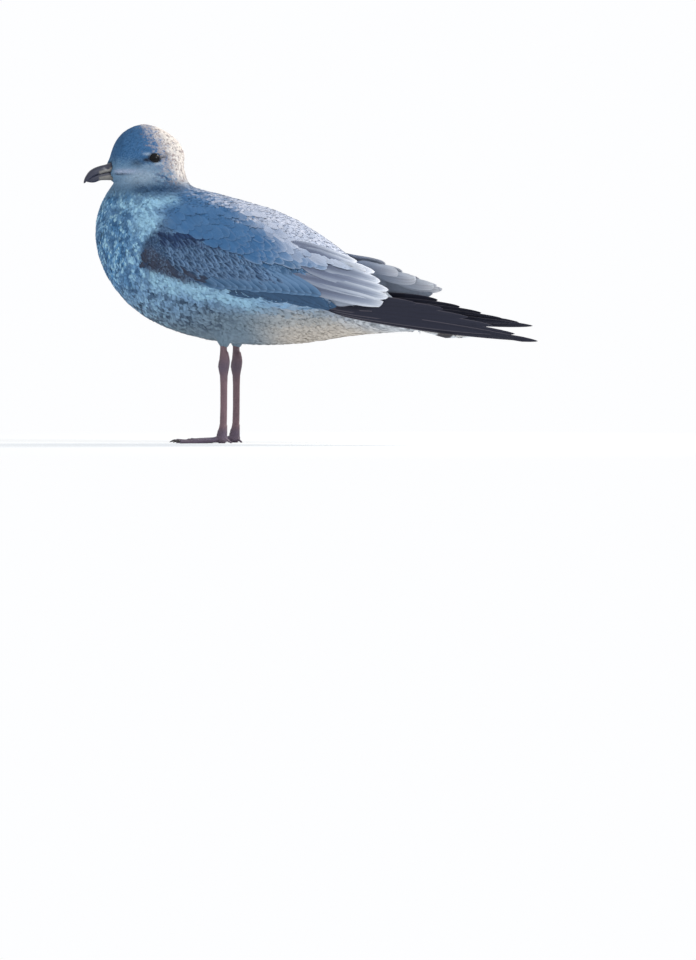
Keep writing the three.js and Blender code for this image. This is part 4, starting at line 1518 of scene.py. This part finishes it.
# Primaries, from the inner to the outermost: base x and z, tip x and z, bow, lifts, half width.
primaries = {
    "left": [
        (84, 128, 176, 123.0, 0.0, 0.5, 0.9, 6.0),
        (86, 126, 199, 118.6, 0.5, 0.3, 0.7, 6.0),
        (88, 125, 221, 111.4, 0.8, 0.1, 0.5, 5.8),
        (90, 123, 243, 104.0, 1.0, -0.1, 0.3, 5.5),
        (92, 121, 263, 96.8, 1.0, -0.3, 0.1, 5.3),
        (94, 119.5, 283.4, 90.4, 1.4, -0.5, -0.1, 5.0),
    ],
    "right": [
        (84, 129, 186, 126.5, -0.5, 0.5, 0.9, 6.0),
        (86, 127, 207, 120.6, 0.0, 0.3, 0.7, 6.0),
        (88, 126, 227, 115.2, 0.4, 0.1, 0.5, 5.8),
        (90, 124, 246, 110.4, 0.6, -0.1, 0.3, 5.4),
        (92, 122, 262, 107.0, 0.8, -0.3, 0.1, 5.0),
        (94, 120.5, 275, 103.9, 1.0, -0.5, -0.1, 4.6),
    ],
}


def makePrimaries(side, label):
    rows = np.array(primaries[label], float)
    spine, up = sideSpines(rows[:, :7], side, [treeOf("primaries_" + label)], 15)
    profile = roundedWidth(15, 2.3, 0.7, 0.3, power=0.62)
    dress = (varied(palette["primary"], len(rows), 0.06, 0.3),
             varied(palette["primaryEdge"], len(rows), 0.05, 0.55))
    return stripPiece("primaries_feathers_" + label, spine, up, rows[:, 7], profile, 0.5, 0.12, dress, 6,
                      flightPlumage)


tail = {
    "pairs": 6,
    "rows": 12,
    "baseX": 132,
    "tipMiddle": 221.0,
    "tipOuter": 211.0,
    "endX": 219,
    "baseSpread": 3.5,
    "spread": 21.5,
    "half": 6.6,
}


def tailFeather(tree, rank, side):
    # One tail feather's spine and up, resting on the tail's upper face.
    share = (rank + 0.35) / (tail["pairs"] - 0.2)
    steps = np.linspace(0, 1, tail["rows"])
    tipX = tail["tipMiddle"] + (tail["tipOuter"] - tail["tipMiddle"]) * share ** 2
    x = tail["baseX"] + (tipX - tail["baseX"]) * steps
    y = side * share * (tail["baseSpread"] + (tail["spread"] - tail["baseSpread"]) * steps ** 0.85)
    line = []
    for partX, partY in zip(x, y):
        start = Vector(place([min(partX, tail["endX"]), partY * 0.96, 160]))
        hit = tree.ray_cast(start, Vector((0, 0, -1)), 0.1)
        line.append(hit[0].z if hit[0] is not None else np.nan)
    line = np.array(line)
    known = np.flatnonzero(~np.isnan(line))
    z = np.polyval(np.polyfit(known, line[known], 2), np.arange(len(steps))) - (0.2 + rank * 0.22) * mm
    flat = place(np.column_stack([x, y, x * 0]))
    slope = np.array([0.0, side * share * 0.45, 1.0])
    up = np.tile(slope / np.linalg.norm(slope), (len(steps), 1))
    return np.column_stack([flat[:, 0], flat[:, 1], z]), up


def makeTail():
    tree = treeOf("tail")
    feathers = [tailFeather(tree, rank, side) for rank in range(tail["pairs"]) for side in (-1, 1)]
    spine, up = (np.array(values) for values in zip(*feathers))
    count = len(spine)
    steps = np.linspace(0, 1, tail["rows"])
    profile = (0.55 + 0.45 * ease(steps, 0, 0.4)) * (1 - np.clip((steps - 0.82) / 0.18, 0, 1) ** 2.4) ** 0.5
    dress = (varied(palette["tailWhite"], count, 0.03, 0.95), varied(palette["tailWhite"], count, 0.03))
    widths = np.full(count, tail["half"])
    return stripPiece("tail_feathers", spine, up, widths, profile, 0.4, 0.05, dress, 4, tailPlumage)


for side, label in ((-1, "left"), (1, "right")):
    settle(makeCoverts(side, label), "wing_feathers")
    settle(makePanel(side, label), "wing_feathers")
    for piece in makeTertials(side, label):
        settle(piece, "wing_feathers")
    settle(makeScapulars(side, label), "wing_feathers")
    settle(makePrimaries(side, label), "wing_point_feathers", "primaries_" + label)
settle(makeTail(), "tail_feathers", "tail")


bill = {
    # forward from the middle of the skull, top or bottom, height, half width
    "upper": [(22, 254.0, 242.6, 5.6), (27, 252.3, 241.7, 5.2), (34, 249.5, 240.4, 4.6),
              (40, 247.3, 239.4, 4.0), (46, 245.8, 238.1, 3.5), (52, 243.6, 236.2, 3.0),
              (56, 241.0, 234.0, 2.6), (59, 237.4, 231.6, 2.1), (60.6, 234.6, 230.3, 1.5),
              (61.4, 232.4, 229.9, 0.8)],
    "lower": [(22, 243.6, 235.8, 4.9), (27, 242.9, 234.6, 4.7), (34, 241.6, 233.3, 4.2),
              (40, 240.6, 233.2, 3.6), (46, 239.3, 232.8, 3.0), (51.5, 237.4, 231.0, 2.5),
              (55, 235.8, 230.9, 2.0), (58.4, 233.6, 231.4, 1.0)],
    "points": 28,
    "rows": 44,
    "nostril": (40.5, 243.6),
    "base": linear(120, 116, 112),
    "tip": linear(40, 42, 60),
}


def smoothRows(stations, count):
    # Even steps along the length, through every station, without overshoot.
    stations = np.array(stations, float)
    known = stations[:, 0]
    start, length = known[0], known[-1] - known[0]
    even = np.linspace(known[0], known[-1], count)
    along = start + length * ease((even - even[0]) / (even[-1] - even[0]), -0.5, 1.0)
    along = (along - along[0]) / (along[-1] - along[0]) * length + start
    index = np.clip(np.searchsorted(known, along) - 1, 0, len(known) - 2)
    wide = known[index + 1] - known[index]
    t = (along - known[index]) / wide
    out = [along]
    for values in stations.T[1:]:
        slope = np.gradient(values, known)
        out.append((2 * t ** 3 - 3 * t ** 2 + 1) * values[index]
                   + (t ** 3 - 2 * t ** 2 + t) * wide * slope[index]
                   + (3 * t ** 2 - 2 * t ** 3) * values[index + 1]
                   + (t ** 3 - t ** 2) * wide * slope[index + 1])
    return np.array(out).T


def ringFaces(rows, count):
    # Faces between rings of points that follow one another.
    return [(row * count + i, row * count + (i + 1) % count, (row + 1) * count + (i + 1) % count,
             (row + 1) * count + i) for row in range(rows - 1) for i in range(count)]


def closedPiece(name, vertices, faces):
    mesh = bpy.data.meshes.new(name)
    mesh.from_pydata(vertices, [], faces)
    mesh.validate()
    piece = newObject(name, mesh)
    editAll(piece, bpy.ops.mesh.normals_make_consistent, inside=False)
    bpy.ops.object.shade_smooth()
    return piece


def ringMesh(name, rings):
    # Closed tube through rings of points: rows x points x 3, capped at both ends.
    rows, count, _ = rings.shape
    vertices = list(map(tuple, rings.reshape(-1, 3)))
    vertices += [tuple(rings[0].mean(axis=0)), tuple(rings[-1].mean(axis=0))]
    faces = ringFaces(rows, count)
    last = (rows - 1) * count
    for i in range(count):
        j = (i + 1) % count
        faces.append((rows * count, j, i))
        faces.append((rows * count + 1, last + i, last + j))
    return closedPiece(name, vertices, faces)


def makeBillHalf(name, stations, upper):
    rows = smoothRows(stations, bill["rows"])
    turn = np.linspace(0, 2 * math.pi, bill["points"], endpoint=False)
    rings = np.empty((len(rows), len(turn), 3))
    for index, (forward, top, low, half) in enumerate(rows):
        across = np.sign(np.cos(turn)) * np.abs(np.cos(turn)) ** 0.82
        rise = np.sin(turn)
        middle = low + (top - low) * (0.34 if upper else 0.62)
        height = np.where(rise > 0, middle + (top - middle) * np.abs(rise) ** 0.95,
                          middle - (middle - low) * np.abs(rise) ** 0.8)
        # the cutting edge stands a little proud of the middle of the gape
        if upper:
            edge = height + (middle - low) * 0.45 * (1 - np.abs(across)) * np.abs(rise)
            height = np.where(rise < 0, edge, height)
            # nostril slit
            near = math.exp(-((forward - bill["nostril"][0]) / 2.6) ** 2)
            slit = np.exp(-((height - bill["nostril"][1]) / 0.75) ** 2)
            across = across * (1 - 0.34 * near * slit)
        ring = np.column_stack([np.full(len(turn), forward), half * across, height])
        rings[index] = place(fromHead(ring))
    return ringMesh(name, rings)


def grainedMaterial(name, scale, detail, dark, pale, roughness, depth):
    # A fine grain between two colours.
    material, tree = newMaterial(name)
    noise = noiseNode(tree, scale, detail)
    return finishMaterial(material, mixNode(tree, noise, dark, pale), roughness, noise, depth)


def hornMaterial():
    # Pinkish olive at the base, darkening along the ridge to a black-brown tip.
    material, tree = newMaterial("billHorn")
    noise = noiseNode(tree, 260, 5)
    wobble = times(tree, minus(tree, noise, 0.5), 0.35)
    dark = rampNode(tree, plus(tree, readNode(tree, "horn")["Fac"], wobble), 0.30, 0.68)
    colour = mixNode(tree, dark, bill["base"], bill["tip"])
    colour = shaded(tree, colour, plus(tree, times(tree, noise, 0.5), 0.75))
    return finishMaterial(material, colour, 0.42, noise, 0.25, 0.0003)


def hornAt(local, upper):
    # How dark the horn is: the tip, the ridge and the nostril above, the cutting edge below.
    forward, aside, height = local.T
    horn = ease(forward, 44, 52)
    if not upper:
        return np.maximum(horn, ease(height - 240.0 + 0.25 * (forward - 22), 0.5, 2.5) * 0.6)
    ridge = 254.5 - 0.36 * (forward - 22)
    horn = np.maximum(horn, ease(height - ridge + 0.5 * np.abs(aside), -5.0, -1.0) * 0.75)
    ahead, level = bill["nostril"]
    return np.maximum(horn, np.exp(-((forward - ahead) / 2.8) ** 2 - ((height - level) / 0.9) ** 2))


def makeBill():
    material = hornMaterial()
    for name, half, upper in (("bill_top", "upper", True), ("bill_bottom", "lower", False)):
        piece = makeBillHalf(name, bill[half], upper)
        store(piece.data, "horn", hornAt(toHead(points(piece.data)), upper))
        piece.data.materials.append(material)
        settle(piece, "bill", "bill_" + half)
    print("stage: bill")


makeBill()


eyes = {
    "iris": 46.0,
    "pupil": 31.0,
    "irisColour": linear(11, 9, 9),
    "pupilColour": (0.0015, 0.0015, 0.002),
    "rimColour": (0.004, 0.003, 0.003),
    "wet": {"Specular IOR Level": 0.0, "Coat Weight": 0.6, "Coat IOR": 1.36, "Coat Roughness": 0.03},
    "lidColour": linear(24, 24, 28),
    "lidThick": 0.55,
    "lidPoints": 64,
    # beyond the opening, height over the globe, and how far it has turned to the face around it
    "lidProfile": [(-0.3, -0.8, 0), (0.0, 0.1, 0), (0.12, 0.5, 0), (0.35, 0.7, 0.15), (0.7, 0.5, 0.55),
                   (1.2, 0.2, 0.9), (2.2, 0, 1), (3.4, 0, 1)],
}


def eyeMaterial():
    # Dark iris round a black pupil, by the angle from the middle of the gaze.
    material, tree = newMaterial("wetEye")
    gaze = readNode(tree, "gaze")["Fac"]
    inIris = minus(tree, 1.0, rampNode(tree, gaze, eyes["iris"] - 2, eyes["iris"] + 2))
    outPupil = rampNode(tree, gaze, eyes["pupil"] - 2, eyes["pupil"] + 3)
    iris = mixNode(tree, noiseNode(tree, 900), eyes["irisColour"] * 0.7, eyes["irisColour"] * 1.6)
    colour = mixNode(tree, inIris, eyes["rimColour"], mixNode(tree, outPupil, eyes["pupilColour"], iris))
    return finishMaterial(material, colour, 0.3, extra=eyes["wet"])


def makeGlobe(side, label, material):
    middle, _, _, outward = eyeFrames[side]
    deselect()
    bpy.ops.mesh.primitive_uv_sphere_add(segments=48, ring_count=32, radius=opening["radius"] * mm)
    globe = bpy.context.object
    globe.name = "eye_globe_" + label
    bpy.ops.object.shade_smooth()
    spots = points(globe.data)
    turnTo = np.array(Vector((0, 0, 1)).rotation_difference(Vector(outward)).to_matrix())
    gaze = np.degrees(np.arccos(np.clip(spots[:, 2] / np.linalg.norm(spots, axis=1), -1, 1)))
    setPoints(globe.data, spots @ turnTo.T + middle)
    store(globe.data, "gaze", gaze)
    globe.data.materials.append(material)
    settle(globe, "eye", "eye_" + label)


def lidRing(side, outer, rise, given):
    # One ring of the lid, on the globe or, where given is 1, on the face around it.
    middle, across, upward, outward = eyeFrames[side]
    turn = np.linspace(0, 2 * math.pi, eyes["lidPoints"], endpoint=False)
    pinch = 1 + 0.05 * np.cos(turn * 2)
    wide = (opening["wide"] + outer) * pinch
    high = (opening["high"] + outer * 0.95) * pinch
    flat = np.stack([np.cos(turn) * wide, np.sin(turn) * high], axis=1)
    reach = np.minimum(np.hypot(flat[:, 0], flat[:, 1]), opening["radius"] * 0.98)
    out = np.sqrt(opening["radius"] ** 2 - reach ** 2) + rise * eyes["lidThick"]
    spots = middle + (across * flat[:, :1] + upward * flat[:, 1:]) * mm
    for index, spot in enumerate(spots):
        hit = envelopeTree.ray_cast(Vector(spot + outward * 0.03), Vector(-outward), 0.04)
        level = (0.03 - hit[3]) / mm - 0.3 - 0.3 * outer if hit[3] is not None else out[index]
        out[index] += (level - out[index]) * given
    return spots + outward * out[:, None] * mm


def makeLid(side, label, material):
    # A soft ring that hugs the globe and runs out under the feathers, closed behind.
    rings = np.array([lidRing(side, *row) for row in eyes["lidProfile"]])
    rows, count, _ = rings.shape
    inner = rings[[0, -1]] - eyeFrames[side][3] * 0.5 * mm
    vertices = np.concatenate([rings.reshape(-1, 3), inner.reshape(-1, 3)])
    faces = ringFaces(rows, count)
    start, last = rows * count, (rows - 1) * count
    for i in range(count):
        j = (i + 1) % count
        faces.append((i, start + i, start + j, j))
        faces.append((start + i, start + count + i, start + count + j, start + j))
        faces.append((start + count + i, last + i, last + j, start + count + j))
    lid = closedPiece("lid_" + label, list(map(tuple, vertices)), faces)
    lid.data.materials.append(material)
    settle(lid, "head_feathers")


eyeSkin = eyeMaterial()
lidSkin = grainedMaterial("lidSkin", 1500, 2.0, eyes["lidColour"] * 0.7, eyes["lidColour"] * 1.5, 0.55, 0.5)
for side, label in ((1, "left"), (-1, "right")):
    makeGlobe(side, label, eyeSkin)
    makeLid(side, label, lidSkin)
print("stage: eyes")


leg = {
    "voxel": 0.42,
    "smooth": 4,
    "pinch": 0.22,
    # joints: x, z, half width and half height of an ellipsoid; rods: lowest, highest, radius
    "joints": [(-2.3, 9.4, 3.4, 4.4), (-3.4, 7.0, 3.0, 3.6), (1.0, 76.5, 4.2, 8.0)],
    "rods": [(3.5, 16, 3.3), (72, 97, 3.9)],
    # the bare shank's plates fade in between the first two heights and out between the last two
    "shank": (9, 13, 78, 81),
    # height and half height of the dark ankle, and how high the dark foot reaches
    "darkAnkle": (67, 8),
    "darkFoot": (9, 16),
    # toes: degrees turned from straight ahead, start behind the shank, half width and top of the foot
    "toes": (-25, 3, 29),
    "toeStart": 1.5,
    "toeWidth": (2.0, 3.2),
    "footTop": 9,
    "scute": 3.0,
    "scuteDepth": 0.13,
    "toeScute": 2.1,
    "toeDepth": 0.10,
    "sole": 0.35,
    "skinColour": linear(122, 94, 100),
    "jointColour": linear(84, 72, 92),
    "webColour": linear(104, 84, 92),
}


def legMaterial():
    # Small scales over skin that darkens at the joints.
    material, tree = newMaterial("scaledSkin")
    cells = addNode(tree, "TexVoronoi", {"Vector": spotNode(tree), "Scale": 950},
                    feature="DISTANCE_TO_EDGE")
    blotch = times(tree, rampNode(tree, noiseNode(tree, 120, 5), 0.35, 0.68), 0.35)
    colour = mixNode(tree, readNode(tree, "tone")["Fac"], leg["skinColour"], leg["jointColour"])
    colour = mixNode(tree, blotch, colour, leg["webColour"] * 0.7)
    edge = rampNode(tree, cells["Distance"], 0.0, 0.12)
    colour = shaded(tree, colour, plus(tree, times(tree, edge, 0.25), 0.78))
    return finishMaterial(material, colour, 0.5, edge, 0.45)


def legShape(side, label):
    # The CAD leg and foot, filled out at the joints and rounded.
    parts = [nodeCopy("leg_" + label, "legPart"), nodeCopy("foot_" + label, "footPart")]
    aside = side * legAside * mm
    for x, z, wide, high in leg["joints"]:
        deselect()
        bpy.ops.mesh.primitive_uv_sphere_add(segments=24, ring_count=16, radius=mm,
                                             scale=(wide, wide, high),
                                             location=(originX + x * mm, aside, z * mm))
        parts.append(bpy.context.object)
        bpy.ops.object.transform_apply(location=True, rotation=False, scale=True)
    for low, high, wide in leg["rods"]:
        deselect()
        bpy.ops.mesh.primitive_cylinder_add(vertices=24, radius=wide * mm, depth=(high - low) * mm,
                                            location=(originX, aside, (low + high) / 2 * mm))
        parts.append(bpy.context.object)
        bpy.ops.object.transform_apply(location=True, rotation=False, scale=False)
    piece = joinPieces(parts, "leg_skin_" + label)
    remesh = piece.modifiers.new("remesh", "REMESH")
    remesh.mode = "VOXEL"
    remesh.voxel_size = leg["voxel"] * mm
    soften = piece.modifiers.new("soften", "SMOOTH")
    soften.factor = 0.5
    soften.iterations = leg["smooth"]
    applyModifiers(piece)
    return piece


def legScales(x, y, z, ways, side):
    # Depth, in millimetres, of the grooves between the plates, and how dark the skin is.
    foot, low, high, top = leg["shank"]
    onShank = ease(z, foot, low) * (1 - ease(z, high, top))
    front = ease(-ways[:, 0], -0.2, 0.5)
    ring = np.abs((z / leg["scute"] + 0.10 * y) % 1 - 0.5) * 2
    depth = leg["scuteDepth"] * (0.35 + 0.65 * front) * ease(ring, 0.72, 1.0) * onShank
    ankle, reach = leg["darkAnkle"]
    tone = np.maximum(np.exp(-((z - ankle) / reach) ** 2) * 0.9, 1 - ease(z, *leg["darkFoot"])) * 0.8
    toes = np.zeros(len(z))
    for angle in leg["toes"]:
        turn = math.radians(angle)
        heading = np.array([-math.cos(turn), -side * math.sin(turn)])
        ahead = x + leg["toeStart"]
        along = ahead * heading[0] + y * heading[1]
        off = np.abs(ahead * heading[1] - y * heading[0])
        onToe = (1 - ease(off, *leg["toeWidth"])) * ease(along, 4, 8) * ease(ways[:, 2], 0.0, 0.5)
        onToe *= z < leg["footTop"]
        ring = np.abs((along / leg["toeScute"]) % 1 - 0.5) * 2
        depth = np.maximum(depth, leg["toeDepth"] * ease(ring, 0.65, 1.0) * onToe)
        toes = np.maximum(toes, onToe)
    return depth, np.clip(tone + depth * 2.2 + 0.25 * toes, 0, 1)


def makeLeg(side, label, material):
    piece = legShape(side, label)
    spots, ways = points(piece.data), normals(piece.data)
    x, y, z = ((spots - origin) / mm).T
    narrow = 1 - leg["pinch"] * ease(z, 72, 84)
    aside = side * legAside * mm
    spots[:, 0] = originX + (spots[:, 0] - originX) * narrow
    spots[:, 1] = aside + (spots[:, 1] - aside) * narrow
    depth, tone = legScales(x, y - side * legAside, z, ways, side)
    spots = spots - ways * (depth * mm)[:, None]
    spots[:, 2] = np.where(spots[:, 2] < leg["sole"] * mm, 0.0, spots[:, 2])
    setPoints(piece.data, spots)
    store(piece.data, "tone", tone)
    activate(piece)
    bpy.ops.object.shade_smooth()
    piece.data.materials.clear()
    piece.data.materials.append(material)
    settle(piece, "leg_skin", "leg_" + label, "foot_" + label)
    print("stage:", piece.name, len(piece.data.polygons), "faces")


legSkin = legMaterial()
for side, label in ((-1, "left"), (1, "right")):
    makeLeg(side, label, legSkin)


def makeClaw(name, material):
    piece = nodeCopy("claw_" + name, "claw_horn_" + name)
    smooth = piece.modifiers.new("round", "SUBSURF")
    smooth.levels = 2
    smooth.render_levels = 2
    applyModifiers(piece)
    bpy.ops.object.shade_smooth()
    piece.data.materials.append(material)
    settle(piece, "claw", "claw_" + name)


clawHorn = grainedMaterial("clawHorn", 700, 4, linear(26, 23, 24), linear(62, 54, 52), 0.35, 0.3)
for label in ("left", "right"):
    for toe in ("inner", "middle", "outer"):
        makeClaw(f"{label}_{toe}", clawHorn)
print("stage: legs and claws")

settle(skinPiece, "body_feathers", *fleshNodes)
